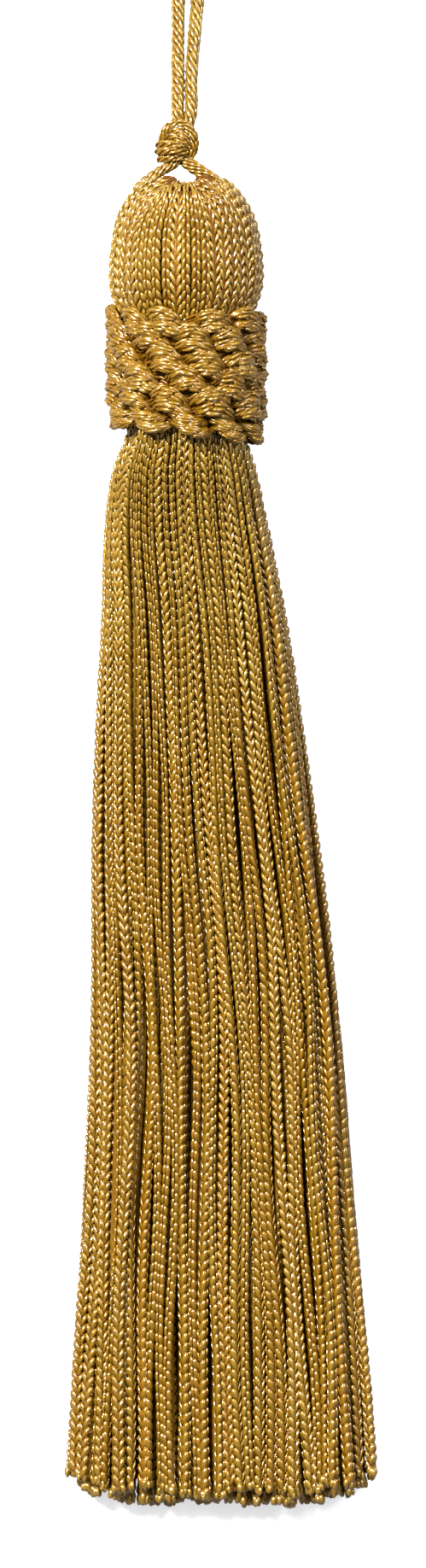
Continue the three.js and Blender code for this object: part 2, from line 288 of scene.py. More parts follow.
class Graph:
    """Builds the nodes of one shader or geometry tree."""

    def __init__(self, tree: bpy.types.NodeTree) -> None:
        """Work on an empty tree."""
        self.tree = tree
        tree.nodes.clear()

    def node(self, kind: str, sockets: dict[Any, Any] | None = None, **settings: Any) -> bpy.types.Node:
        """Add one node.

        Args:
            kind: The node's type.
            sockets: Values or links of its inputs, by identifier or place.
            settings: Its own properties, which are set first.

        Returns:
            The node.
        """
        node = self.tree.nodes.new(kind)
        for name, value in settings.items():
            setattr(node, name, value)
        for key, value in (sockets or {}).items():
            inputs = node.inputs if isinstance(key, int) else {s.identifier: s for s in node.inputs}
            source = value.socket if isinstance(value, Value) else value
            if isinstance(source, bpy.types.NodeSocket):
                self.tree.links.new(source, inputs[key])
            else:
                inputs[key].default_value = source
        return node

    def mixed(self, first: Any, second: Any, share: Any) -> bpy.types.NodeSocket:
        """A colour between two others."""
        sockets = {"Factor_Float": share, "A_Color": first, "B_Color": second}
        return self.node("ShaderNodeMix", sockets, data_type="RGBA").outputs[2]

    def number_on(self, name: str) -> Value:
        """A number that the piece's points carry."""
        return Value(self, self.node("ShaderNodeAttribute", attribute_name=name).outputs["Fac"])

    def noise(self, place: Any, scale: float, detail: float) -> Value:
        """Soft noise from 0 to 1."""
        node = self.node("ShaderNodeTexNoise", {"Vector": place, "Scale": scale, "Detail": detail})
        return Value(self, node.outputs["Fac"])

    def stored(self, kind: str, name: str) -> bpy.types.NodeSocket:
        """A named attribute, in a geometry tree."""
        node = self.node("GeometryNodeInputNamedAttribute", {"Name": name}, data_type=kind)
        return node.outputs["Attribute"]

    def storing(self, geometry: bpy.types.NodeSocket, name: str, value: Any) -> bpy.types.NodeSocket:
        """Store a vector on the points of a geometry, in a geometry tree.

        Args:
            geometry: The geometry.
            name: Name of the attribute.
            value: The vector.

        Returns:
            The geometry with the attribute.
        """
        sockets = {"Geometry": geometry, "Name": name, "Value": value}
        kind = "GeometryNodeStoreNamedAttribute"
        return self.node(kind, sockets, data_type="FLOAT_VECTOR", domain="POINT").outputs[0]


# Finishes


@dataclass(frozen=True)
class SatinYarn:
    """Finish of shiny gold yarn: fine filaments along the thread, with painted shade where a thread lies
    beneath others.
    """

    name: str
    body: Colour = (0.225, 0.114, 0.002, 1.0)
    # Pale tone; the painted light on the skirt's roots and cut ends draws the tint towards it
    pale: Colour = (0.35, 0.212, 0.024, 1.0)
    warm: Colour = (0.28, 0.117, 0.002, 1.0)
    # Colour of the painted shade where a thread lies beneath others or deep
    painted_shade: Colour = (0.09, 0.021, 0.001, 1.0)
    pale_gain: float = 1.6
    warm_gain: float = 2.0
    # How strongly painted shade grows as the unshaded share falls
    painted_shade_gain: float = 0.8
    roughness: float = 0.30
    roughness_spread: float = 0.12
    metallic: float = 0.32
    specular: float = 0.2
    coat: float = 1.0
    coat_roughness: float = 0.115
    coat_ior: float = 1.75
    filament_scale: float = 3.4
    filament_detail: float = 2.0
    filament_contrast: float = 0.9
    filament_depth: float = 0.06 * MM
    bump_strength: float = 0.5
    mottle_scale: float = 260.0
    mottle_detail: float = 3.0
    mottle_contrast: float = 0.9
    # How far the tint moves the filament noise, so that yarns of other tints differ in it
    moved: tuple[float, float] = (61.0, 37.0)

    def material(self) -> bpy.types.Material:
        """Make the node material.

        Returns:
            The material, which reads the attributes tint, unshaded, deep and thread; unshaded less deep
            sets how much painted shade it has.
        """
        material = bpy.data.materials.new(self.name)
        material.use_nodes = True
        graph = Graph(material.node_tree)
        tint = graph.number_on("tint")
        # Share without painted shade at this point
        lift = graph.number_on("lift") - graph.number_on("deep")
        thread = graph.node("ShaderNodeAttribute", attribute_name="thread").outputs["Vector"]
        moved = graph.node("ShaderNodeCombineXYZ", {"X": tint * self.moved[0], "Y": tint * self.moved[1]})
        apart = graph.node("ShaderNodeVectorMath", {0: thread, 1: moved.outputs[0]}, operation="ADD")
        filament = graph.noise(apart.outputs[0], self.filament_scale, self.filament_detail)
        place = graph.node("ShaderNodeTexCoord").outputs["Object"]
        mottle = graph.noise(place, self.mottle_scale, self.mottle_detail)
        pale_share = ((0.5 - tint) * self.pale_gain + (mottle - 0.5) * self.mottle_contrast).held()
        warm_share = ((tint - 0.5) * self.warm_gain).held()
        colour = graph.mixed(self.body, self.pale, pale_share)
        colour = graph.mixed(colour, self.warm, warm_share)
        # Painted shade where the thread lies beneath others or deep, with streaks of the filaments
        painted_shade_share = (1.0 - lift) * self.painted_shade_gain + (0.5 - filament) * self.filament_contrast
        colour = graph.mixed(colour, self.painted_shade, painted_shade_share.held())
        relief = {"Strength": self.bump_strength, "Distance": self.filament_depth, "Height": filament}
        bump = graph.node("ShaderNodeBump", relief)
        look = {
            "Base Color": colour,
            "Roughness": self.roughness + (filament - 0.5) * self.roughness_spread,
            "Metallic": self.metallic,
            "Specular IOR Level": self.specular,
            # The coat thins out along with the painted shade
            "Coat Weight": (lift * self.coat).held(),
            "Coat Roughness": self.coat_roughness,
            "Coat IOR": self.coat_ior,
            "Normal": bump.outputs["Normal"],
        }
        shader = graph.node("ShaderNodeBsdfPrincipled", look)
        graph.node("ShaderNodeOutputMaterial", {"Surface": shader.outputs["BSDF"]})
        return material


COLLAR_SATIN = SatinYarn(
    name="collar_satin",
    body=(0.235, 0.121, 0.003, 1.0),
    pale=(0.29, 0.180, 0.022, 1.0),
    warm=(0.27, 0.114, 0.003, 1.0),
    # Painted shade colour of the collar's yarns
    painted_shade=(0.08, 0.019, 0.001, 1.0),
)
LOOP_SATIN = SatinYarn(
    name="loop_satin",
    body=(0.23, 0.117, 0.004, 1.0),
    pale=(0.28, 0.172, 0.024, 1.0),
    warm=(0.26, 0.108, 0.003, 1.0),
    # Painted shade colour of the loop's yarns
    painted_shade=(0.06, 0.018, 0.001, 1.0),
)


@dataclass(frozen=True)
class TableTop:
    """Finish of the plain white table."""

    name: str = "table_white"
    colour: Colour = (0.92, 0.92, 0.93, 1.0)
    shade: Colour = (0.90, 0.90, 0.92, 1.0)
    # Base and glow for every ray but the camera's, so that the tassel keeps its dark edges on white
    beside: Colour = (0.22, 0.19, 0.14, 1.0)
    dark: Colour = (0.0, 0.0, 0.0, 1.0)
    roughness: float = 0.85
    glow: float = 0.6
    grain_scale: float = 30.0
    grain_detail: float = 2.0

    def material(self) -> bpy.types.Material:
        """Make the node material.

        Returns:
            The material.
        """
        material = bpy.data.materials.new(self.name)
        material.use_nodes = True
        graph = Graph(material.node_tree)
        place = graph.node("ShaderNodeTexCoord").outputs["Object"]
        grain = graph.noise(place, self.grain_scale, self.grain_detail)
        colour = graph.mixed(self.colour, self.shade, grain)
        seen = graph.node("ShaderNodeLightPath").outputs["Is Camera Ray"]
        look = {
            "Base Color": graph.mixed(self.beside, colour, seen),
            "Roughness": self.roughness,
            "Emission Color": graph.mixed(self.dark, self.colour, seen),
            "Emission Strength": self.glow,
        }
        shader = graph.node("ShaderNodeBsdfPrincipled", look)
        graph.node("ShaderNodeOutputMaterial", {"Surface": shader.outputs["BSDF"]})
        return material


# Yarns and stitches


def add_attribute(mesh: bpy.types.Mesh, name: str, values: Array) -> None:
    """Store a number or a vector on every point of a mesh.

    Args:
        mesh: The mesh.
        name: The attribute's name.
        values: One number or one vector for each point.
    """
    vector = values.ndim == 2
    attribute = mesh.attributes.new(name, "FLOAT_VECTOR" if vector else "FLOAT", "POINT")
    attribute.data.foreach_set("vector" if vector else "value", values.astype(np.float32).ravel())


def new_object(name: str, data: bpy.types.ID) -> bpy.types.Object:
    """Put a mesh, a lamp or a camera in the scene.

    Args:
        name: The object's name.
        data: What it holds.

    Returns:
        The object.
    """
    thing = bpy.data.objects.new(name, data)
    bpy.context.scene.collection.objects.link(thing)
    return thing


def dressed(piece: bpy.types.Object, node: Node) -> bpy.types.Object:
    """Fix a finished piece to the tassel.

    Args:
        piece: The finished piece.
        node: The solid that it stands for.

    Returns:
        The piece.
    """
    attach(piece, BODY)
    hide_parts(node.value)
    LOG.info("%s: %d triangles", piece.name, sum(len(p.vertices) - 2 for p in piece.data.polygons))
    return piece


class PieceTree:
    """A Geometry Nodes tree that turns guide points or lines into a finished piece."""

    def __init__(self, name: str, inputs: dict[str, str]) -> None:
        """Start a tree.

        Args:
            name: The tree's name.
            inputs: Named inputs after the geometry, with their socket types.
        """
        self.tree = bpy.data.node_groups.new(name, "GeometryNodeTree")
        self.graph = Graph(self.tree)
        sockets = {"Geometry": "NodeSocketGeometry"} | inputs | {"Material": "NodeSocketMaterial"}
        for label, kind in sockets.items():
            self.tree.interface.new_socket(label, in_out="INPUT", socket_type=kind)
        self.tree.interface.new_socket("Geometry", in_out="OUTPUT", socket_type="NodeSocketGeometry")
        self.given = self.graph.node("NodeGroupInput").outputs

    def finish(self, geometry: bpy.types.NodeSocket) -> None:
        """End the tree with smooth shading, real instances and the finish.

        Args:
            geometry: What the tree has made.
        """
        smooth = self.graph.node("GeometryNodeSetShadeSmooth", {"Geometry": geometry})
        real = self.graph.node("GeometryNodeRealizeInstances", {"Geometry": smooth.outputs[0]})
        sockets = {"Geometry": real.outputs[0], "Material": self.given["Material"]}
        finish = self.graph.node("GeometryNodeSetMaterial", sockets)
        self.graph.node("NodeGroupOutput", {0: finish.outputs[0]})

    def grow(self, piece: bpy.types.Object, values: dict[str, Any]) -> None:
        """Run the tree on a piece and keep the result as its plain mesh.

        Args:
            piece: An object that holds the guide points or lines.
            values: Values of the tree's named inputs.
        """
        modifier = piece.modifiers.new(self.tree.name, "NODES")
        modifier.node_group = self.tree
        sockets = {s.name: s.identifier for s in self.tree.interface.items_tree if s.in_out == "INPUT"}
        for name, value in values.items():
            modifier[sockets[name]] = value
        depsgraph = bpy.context.evaluated_depsgraph_get()
        mesh = bpy.data.meshes.new_from_object(
            piece.evaluated_get(depsgraph), preserve_all_data_layers=True, depsgraph=depsgraph
        )
        guide = piece.data
        piece.modifiers.clear()
        piece.data = mesh
        mesh.name = piece.name
        bpy.data.meshes.remove(guide)


class YarnTree(PieceTree):
    """Round yarns along guide lines, each as thick as its points say."""

    def __init__(self) -> None:
        """Build the tree."""
        super().__init__("yarns_on_lines", {"Sides": "NodeSocketInt"})
        graph = self.graph
        lines = graph.node("GeometryNodeMeshToCurve", {"Mesh": self.given["Geometry"]})
        round_sockets = {"Resolution": self.given["Sides"], "Radius": 1.0}
        circle = graph.node("GeometryNodeCurvePrimitiveCircle", round_sockets, mode="RADIUS")
        place = graph.node("GeometryNodeInputPosition").outputs[0]
        tube_sockets = {
            "Curve": lines.outputs[0],
            "Profile Curve": graph.storing(circle.outputs["Curve"], "rim", place),
            "Scale": graph.stored("FLOAT", "thickness"),
            "Fill Caps": True,
        }
        tubes = graph.node("GeometryNodeCurveToMesh", tube_sockets).outputs[0]
        across = graph.node("ShaderNodeSeparateXYZ", {0: graph.stored("FLOAT_VECTOR", "rim")}).outputs
        along = graph.stored("FLOAT", "along")
        thread = graph.node("ShaderNodeCombineXYZ", {0: across[0], 1: across[1], 2: along})
        self.finish(graph.storing(tubes, "thread", thread.outputs[0]))


class StitchTree(PieceTree):
    """A stitch leg on every guide point, turned and sized as the point says."""

    def __init__(self) -> None:
        """Build the tree."""
        super().__init__("stitch_legs_on_points", {"Leg": "NodeSocketObject"})
        graph = self.graph
        leg = graph.node("GeometryNodeObjectInfo", {"Object": self.given["Leg"]})
        axes = {
            "Primary Axis": graph.stored("FLOAT_VECTOR", "way"),
            "Secondary Axis": graph.stored("FLOAT_VECTOR", "outward"),
        }
        turn = graph.node("FunctionNodeAxesToRotation", axes, primary_axis="Y", secondary_axis="Z")
        sockets = {
            "Points": self.given["Geometry"],
            "Instance": leg.outputs["Geometry"],
            "Rotation": turn.outputs[0],
            "Scale": graph.stored("FLOAT_VECTOR", "size"),
        }
        self.finish(graph.node("GeometryNodeInstanceOnPoints", sockets).outputs[0])


@dataclass
class Yarns:
    """Centre lines of yarns, with a thickness, tint and unshaded share for each: 1 has no painted shade.
    """

    lines: list[Array] = field(default_factory=list)
    thickness: list[Array] = field(default_factory=list)
    tint: list[Array] = field(default_factory=list)
    lift: list[Array] = field(default_factory=list)

    def add(self, line: Array, thickness: Array | float, tint: float, lift: Array | float) -> None:
        """Add one yarn.

        Args:
            line: Points of its centre line.
            thickness: Its radius, along the line or for all of it.
            tint: Its tint, from 0 for pale over 0.5 to 1 for warm.
            unshaded: 1 where it lies on top with no painted shade, and 0 where it lies beneath others in
                full painted shade.
        """
        count = len(line)
        self.lines.append(line)
        self.thickness.append(np.broadcast_to(np.asarray(thickness, float), count))
        self.tint.append(np.full(count, tint))
        self.lift.append(np.broadcast_to(np.asarray(lift, float), count))

    def guide(self, name: str) -> bpy.types.Object:
        """Make an object of bare lines for the yarn tree, none of them below the table.

        Args:
            name: Name of the piece.

        Returns:
            The object, with its numbers as attributes.
        """
        points = np.concatenate(self.lines)
        radius = np.concatenate(self.thickness)
        points[:, 2] = np.maximum(points[:, 2], radius)
        starts = np.cumsum([0] + [len(line) for line in self.lines])
        edges = [
            np.column_stack([np.arange(a, b - 1), np.arange(a + 1, b)])
            for a, b in zip(starts[:-1], starts[1:])
        ]
        along = [run_along(line) / np.maximum(r, THIN) for line, r in zip(self.lines, self.thickness)]
        mesh = bpy.data.meshes.new(name)
        mesh.from_pydata(points.tolist(), np.concatenate(edges).tolist(), [])
        add_attribute(mesh, "thickness", radius)
        add_attribute(mesh, "tint", np.concatenate(self.tint))
        # Share without painted shade at every point
        add_attribute(mesh, "lift", np.concatenate(self.lift))
        add_attribute(mesh, "along", np.concatenate(along) * ALONG_SCALE)
        return new_object(name, mesh)


@dataclass
class Stitches:
    """Stitch legs: where each one sits, which way it points and faces, its size, tint and painted shade
    (deep).
    """

    place: Array
    way: Array
    outward: Array
    size: Array
    tint: Array
    deep: Array


def stitch_guide(groups: list[Stitches], name: str) -> bpy.types.Object:
    """Make an object of bare points for the stitch tree.

    Args:
        groups: The stitch legs.
        name: Name of the piece.

    Returns:
        The object, with the legs' numbers as attributes.
    """
    mesh = bpy.data.meshes.new(name)
    mesh.from_pydata(np.concatenate([group.place for group in groups]).tolist(), [], [])
    for label in ("way", "outward", "size", "tint", "deep"):
        add_attribute(mesh, label, np.concatenate([getattr(group, label) for group in groups]))
    return new_object(name, mesh)


@dataclass(frozen=True)
class StitchLeg:
    """One leg of a stitch: a closed spindle with a full, rounded top and a thin lower end."""

    name: str = "stitch_leg"
    sides: int = 4
    # Columns: place along the leg, width, height, and rise of its middle line
    rings: tuple[tuple[float, float, float, float], ...] = (
        (-0.60, 0.74, 0.66, -0.34),
        (-0.05, 0.98, 0.96, 0.0),
        (0.45, 1.0, 1.0, 0.20),
        (0.86, 0.62, 0.55, -0.05),
    )
    tail: float = -0.8
    tip: float = -0.45
    # Share of the leg, from its lower end, over which its painted shade fades out
    painted_shade_tail: float = 0.38
    along_scale: float = 0.35

    def model(self) -> bpy.types.Object:
        """Make the leg, one unit in half length, half width and half height.

        Returns:
            An object that isn't in the scene.
        """
        turn = np.arange(self.sides) * TURN / self.sides
        points = [(0.0, -1.0, self.tail)]
        for y, width, height, rise in self.rings:
            points += [(width * math.sin(a), y, rise + height * math.cos(a)) for a in turn]
        points.append((0.0, 1.0, self.tip))
        last = len(points) - 1
        top = last - self.sides
        faces = []
        for k in range(self.sides):
            after = (k + 1) % self.sides
            faces.append((0, 1 + k, 1 + after))
            for ring in range(len(self.rings) - 1):
                low = 1 + ring * self.sides
                high = low + self.sides
                faces.append((low + k, high + k, high + after, low + after))
            faces.append((top + k, last, top + after))
        mesh = bpy.data.meshes.new(self.name)
        mesh.from_pydata(points, [], faces)
        place = np.array(points)
        add_attribute(mesh, "thread", place[:, (0, 2, 1)] * (1.0, 1.0, self.along_scale))
        # Painted shade on the leg's lower end, which lies under the next stitch
        add_attribute(mesh, "lift", eased((place[:, 1] + 1.0) / (2.0 * self.painted_shade_tail)))
        return bpy.data.objects.new(self.name, mesh)


BLUNT_STROKE = StitchLeg(
    name="blunt_stroke",
    rings=(
        (-0.78, 0.62, 0.60, -0.35),
        (-0.28, 0.97, 0.97, 0.0),
        (0.28, 1.0, 1.0, 0.05),
        (0.78, 0.68, 0.66, -0.3),
    ),
    tail=-0.7,
    tip=-0.6,
    painted_shade_tail=0.25,
)
PLAIN_LEG = StitchLeg(
    name="plain_leg",
    rings=((-0.55, 0.78, 0.7, -0.3), (0.1, 1.0, 1.0, 0.05), (0.75, 0.75, 0.7, 0.0)),
)


@dataclass
class StrandPath:
    """The line of one knitted strand, with its outward side and its section along the way."""

    centre: Array
    outward: Array
    half_width: Array
    half_height: Array
    tint: float
    # Turn of the first leg around the strand, and how fast the legs turn along it
    roll: float
    twist: float = 0.0
    # How far each further column and the second leg of a stitch lag behind, as shares of a stitch
    stagger: float = 0.5
    skew: float = 0.0
    length_share: Array | float = 1.0
    # Painted shade along the strand; below zero it is painted light
    deep: Array | float = 0.0
    # Painted light that draws the tint towards the pale tone
    painted_light: Array | float = 0.0
    # Bare lengths at both ends
    first: float = 0.0
    last: float = 0.0
    # How far round from its outward side it shows stitches
    facing: float = math.pi

    def side(self) -> tuple[Array, Array]:
        """The upward and the sideways direction at each point."""
        up = unit(-np.gradient(self.centre, axis=0))
        return up, unit(np.cross(up, self.outward))


@dataclass(frozen=True)
class Chainette:
    """Knitted strand of two columns of stitches, each stitch a V of two legs that meet at the bottom."""

    pitch: float = 1.16 * MM
    legs: int = 4
    lean: float = 0.32
    lean_spread: float = 0.22
    one_way: bool = False
    leg_length: float = 0.93 * MM
    leg_width: float = 0.44 * MM
    leg_height: float = 0.19 * MM
    # Reach of a strand whose legs have their full size, and how they shrink where there is less room
    full_reach: float = 0.72 * MM
    least_width: float = 0.5
    least_height: float = 0.7
    width_power: float = 0.8
    tip_rise: float = 0.14
    size_spread: float = 0.20
    tint_spread: float = 0.12
    core_share: float = 0.82
    core_height: float = 0.3
    core_taper: float = 9.0 * MM

    def knit(self, path: StrandPath, random: np.random.Generator) -> Stitches:
        """Set the stitch legs of one strand.

        Args:
            path: The strand's line and section.
            random: Source of the small unevenness.

        Returns:
            The legs that face outwards.
        """
        run = run_along(path.centre)
        up, side = path.side()
        courses = np.arange(path.first, run[-1] - path.last, self.pitch)
        leg = np.tile(np.arange(self.legs), len(courses))
        at = np.repeat(courses, self.legs)
        at = at + (leg // 2 * path.stagger + leg % 2 * path.skew) * self.pitch
        theta = path.roll + path.twist * at + (leg + 0.5) * TURN / self.legs
        theta = (theta + math.pi) % TURN - math.pi
        kept = (np.abs(theta) < path.facing) & (at < run[-1] - path.last)
        leg, at, theta = leg[kept], at[kept], theta[kept]

        def looked_up(values: Array | float) -> Array:
            """Values of the path at the stitch legs."""
            if np.ndim(values) < 2:
                return np.interp(at, run, np.broadcast_to(values, len(run)))
            return np.stack([np.interp(at, run, values[:, k]) for k in range(3)], axis=-1)

        ups = unit(looked_up(up))
        sides = unit(looked_up(side))
        outs = np.cross(sides, ups)
        width = looked_up(path.half_width)[:, None]
        height = looked_up(path.half_height)[:, None]
        sine, cosine = np.sin(theta)[:, None], np.cos(theta)[:, None]
        place = looked_up(path.centre) + sides * width * sine + outs * height * cosine
        outward = unit(sides * height * sine + outs * width * cosine)
        sideways = unit(sides * width * cosine - outs * height * sine)
        lean = self.lean + (random.random(len(at)) - 0.5) * self.lean_spread
        lean = np.where((leg % 2 == 0) | self.one_way, -lean, lean)[:, None]
        way = ups * np.cos(lean) + sideways * np.sin(lean)
        way = unit(way + outward * self.tip_rise)
        reach = (width[:, 0] + self.leg_height) / self.full_reach
        uneven = 1.0 + (random.random((len(at), 3)) - 0.5) * self.size_spread
        size = np.column_stack(
            [
                self.leg_width * np.clip(reach, self.least_width, 1.0) ** self.width_power,
                self.leg_length * looked_up(path.length_share),
                self.leg_height * np.clip(reach, self.least_height, 1.0),
            ]
        )
        # Painted light draws the tint towards the pale tone
        tint = path.tint - looked_up(path.painted_light)
        tint = np.clip(tint + (random.random(len(at)) - 0.5) * self.tint_spread, 0.0, 1.0)
        return Stitches(place, way, outward, size * uneven, tint, looked_up(path.deep))

    def core(self, path: StrandPath, yarns: Yarns, lift: float, grown: float = 0.0) -> None:
        """Add the plain thread inside a strand, which closes the gaps between its stitches.

        Args:
            path: The strand.
            yarns: Where the thread goes.
            unshaded: How much of the thread goes without painted shade; less paints the gaps between the
                stitches dark.
            grown: How much thicker it is than the stitches need, away from its end.
        """
        run = run_along(path.centre)
        radius = np.minimum(path.half_width, path.half_height) * self.core_share
        radius = radius + self.core_height * self.leg_height
        radius = radius + grown * eased((run[-1] - run) / self.core_taper)
        yarns.add(path.centre, radius, path.tint, lift)


@dataclass
class Workshop:
    """The trees, stitch legs and finishes that the pieces share."""

    yarn_tree: YarnTree
    stitch_tree: StitchTree
    leg: bpy.types.Object
    plain_leg: bpy.types.Object
    stroke: bpy.types.Object
    finishes: dict[Slot, bpy.types.Material]

    def spun(self, yarns: Yarns, name: str, sides: int, node: Node) -> bpy.types.Object:
        """Make one piece of yarns.

        Args:
            yarns: The yarns' lines.
            name: Name of the piece.
            sides: Sides of each yarn.
            node: The solid that it stands for.

        Returns:
            The finished piece.
        """
        piece = yarns.guide(name)
        self.yarn_tree.grow(piece, {"Sides": sides, "Material": self.finishes[node.slot]})
        return dressed(piece, node)

    def knitted(
        self, groups: list[Stitches], name: str, leg: bpy.types.Object, node: Node
    ) -> bpy.types.Object:
        """Make one piece of stitch legs, pressed level where it meets the table.

        Args:
            groups: The legs' places and sizes.
            name: Name of the piece.
            leg: The form of each leg.
            node: The solid that it stands for.

        Returns:
            The finished piece.
        """
        piece = stitch_guide(groups, name)
        self.stitch_tree.grow(piece, {"Leg": leg, "Material": self.finishes[node.slot]})
        mesh = piece.data
        points = np.empty(len(mesh.vertices) * 3, np.float32)
        mesh.vertices.foreach_get("co", points)
        points[2::3] = np.maximum(points[2::3], 0.0)
        mesh.vertices.foreach_set("co", points)
        mesh.update()
        return dressed(piece, node)


def rope(route: Array, reach: float, tint: float, roll: float = 0.0) -> StrandPath:
    """A round rope along a route, with stitch legs all the way round.

    Args:
        route: Points of the rope's middle line.
        reach: Distance of the legs from the middle line.
        tint: Tint of the rope.
        roll: Turn of the first leg around the rope.

    Returns:
        The path of the rope.
    """
    away = np.full(len(route), reach)
    return StrandPath(route, outward_along(route), away, away, tint, roll, stagger=0.0)


# The tassel's parts


@dataclass(frozen=True)
class HangingCord:
    """The loop of twisted cord, which rises out of the knot and lies on the table above it."""

    diameter: float = 1.36 * MM
    rest_z: float = 0.72 * MM
    stitch: Chainette = Chainette(
        pitch=1.0 * MM, legs=6, lean=0.45, lean_spread=0.36, one_way=True, leg_length=1.1 * MM,
        leg_width=0.24 * MM, leg_height=0.22 * MM, full_reach=0.68 * MM, tip_rise=0.04,
        size_spread=0.35,
    )
    twist_reach: float = 0.56 * MM
    tint: float = 0.1
    # Both ends of the middle line, inside the knot
    entries: tuple[Point, Point] = ((-0.00525, 0.0798, 0.0077), (-0.00430, 0.0798, 0.0078))
    # The core is painted in full shade
    core_unshaded: float = 0.0
    step: float = 0.45 * MM
    sides: int = 6
    seed: int = 51

    def route(self) -> Array:
        """Points of the cord's middle line, in metres, from the knot round the loop and back."""
        r = self.rest_z
        return np.array(
            [
                (-0.00530, 0.0815, 0.0074), (-0.00530, 0.0860, 0.0062), (-0.00530, 0.0910, 0.0046),
                (-0.00528, 0.0960, 0.0029), (-0.00535, 0.1010, 0.0016), (-0.00550, 0.1060, 0.0009),
                (-0.00580, 0.1110, r), (-0.00620, 0.1160, r), (-0.00660, 0.1210, r),
                (-0.00685, 0.1260, r), (-0.00670, 0.1300, r), (-0.00570, 0.1330, r),
                (-0.00390, 0.1346, r), (-0.00200, 0.1346, r), (-0.00020, 0.1330, r),
                (0.00080, 0.1300, r), (0.00075, 0.1260, r), (0.00030, 0.1210, r),
                (-0.00040, 0.1160, r), (-0.00110, 0.1110, r), (-0.00175, 0.1060, 0.0009),
                (-0.00240, 0.1010, 0.0016), (-0.00295, 0.0960, 0.0029), (-0.00340, 0.0910, 0.0046),
                (-0.00375, 0.0860, 0.0062), (-0.00385, 0.0815, 0.0074),
            ]
        )

    def build(self, shop: Workshop) -> bpy.types.Object:
        """Args:
            shop: Shared trees and finishes.

        Returns:
            The cord.
        """
        first, last = np.array(self.entries)
        route = smooth_route(np.vstack([first, self.route(), last]), self.step)
        path = rope(route, self.twist_reach, self.tint)
        yarns = Yarns()
        self.stitch.core(path, yarns, self.core_unshaded)
        core = shop.spun(yarns, "hanging_cord_core", self.sides, Node.HANGING_CORD)
        stitches = self.stitch.knit(path, np.random.default_rng(self.seed))
        piece = shop.knitted([stitches], "hanging_cord_twist", shop.stroke, Node.HANGING_CORD)
        tuple(self.route()[0])
        return piece


@dataclass(frozen=True)
class SkirtForm:
    """Outer form of the skirt: round below the collar, and flat on the table towards the hem."""

    root_y: float = 46.0 * MM
    hem_y: float = -80.4 * MM
    corner_rise: float = 3.0 * MM
    corner_power: int = 4
    flat_middle: float = 0.45
    top_power: float = 2.3
    bottom_power: float = 4.0
    steps: int = 320
    # Columns: drop below the root, left, right, base and top, all in mm, and how flat the section is
    rows: tuple[tuple[float, ...], ...] = (
        (0.0, -11.15, 2.45, 2.5, 15.3, 0.0),
        (2.6, -11.4, 2.7, 2.2, 15.6, 0.0),
        (4.9, -12.55, 3.5, 1.2, 15.4, 0.1),
        (11.0, -13.7, 4.9, 0.2, 13.2, 0.5),
        (23.0, -14.25, 7.35, 0.0, 10.6, 0.9),
        (35.0, -14.95, 9.25, 0.0, 9.2, 1.0),
        (47.0, -15.45, 10.95, 0.0, 8.2, 1.0),
        (71.0, -15.65, 13.95, 0.0, 7.0, 1.0),
        (95.0, -16.85, 15.95, 0.0, 6.1, 1.0),
        (119.0, -18.25, 17.95, 0.0, 5.7, 1.0),
        (130.0, -18.9, 18.75, 0.0, 5.6, 1.0),
    )

    def sections(self, drops: Array) -> Array:
        """The section's left, right, base, top and flatness at each drop."""
        table = np.array(self.rows) * (MM, MM, MM, MM, MM, 1.0)
        return between(table, drops)

    def outline(self, section: Array, inset: float) -> tuple[Array, Array]:
        """The closed outline of one section, from the middle of its base round by the right.

        Args:
            section: Left, right, base, top and flatness.
            inset: How far inside the outer form the outline lies.

        Returns:
            The x and z of its points.
        """
        left, right, base, top, flat = section
        middle = base + (top - base) * (0.5 + (self.flat_middle - 0.5) * flat)
        angle = np.linspace(-0.5, 1.5, self.steps + 1) * math.pi
        c, s = np.cos(angle), np.sin(angle)
        power = 2.0 + flat * (np.where(s >= 0.0, self.top_power, self.bottom_power) - 2.0)
        height = np.where(s >= 0.0, top - middle, middle - base) - inset
        half = (right - left) / 2.0 - inset
        x = (left + right) / 2.0 + half * np.sign(c) * np.abs(c) ** (2.0 / power)
        z = middle + height * np.sign(s) * np.abs(s) ** (2.0 / power)
        return x, z


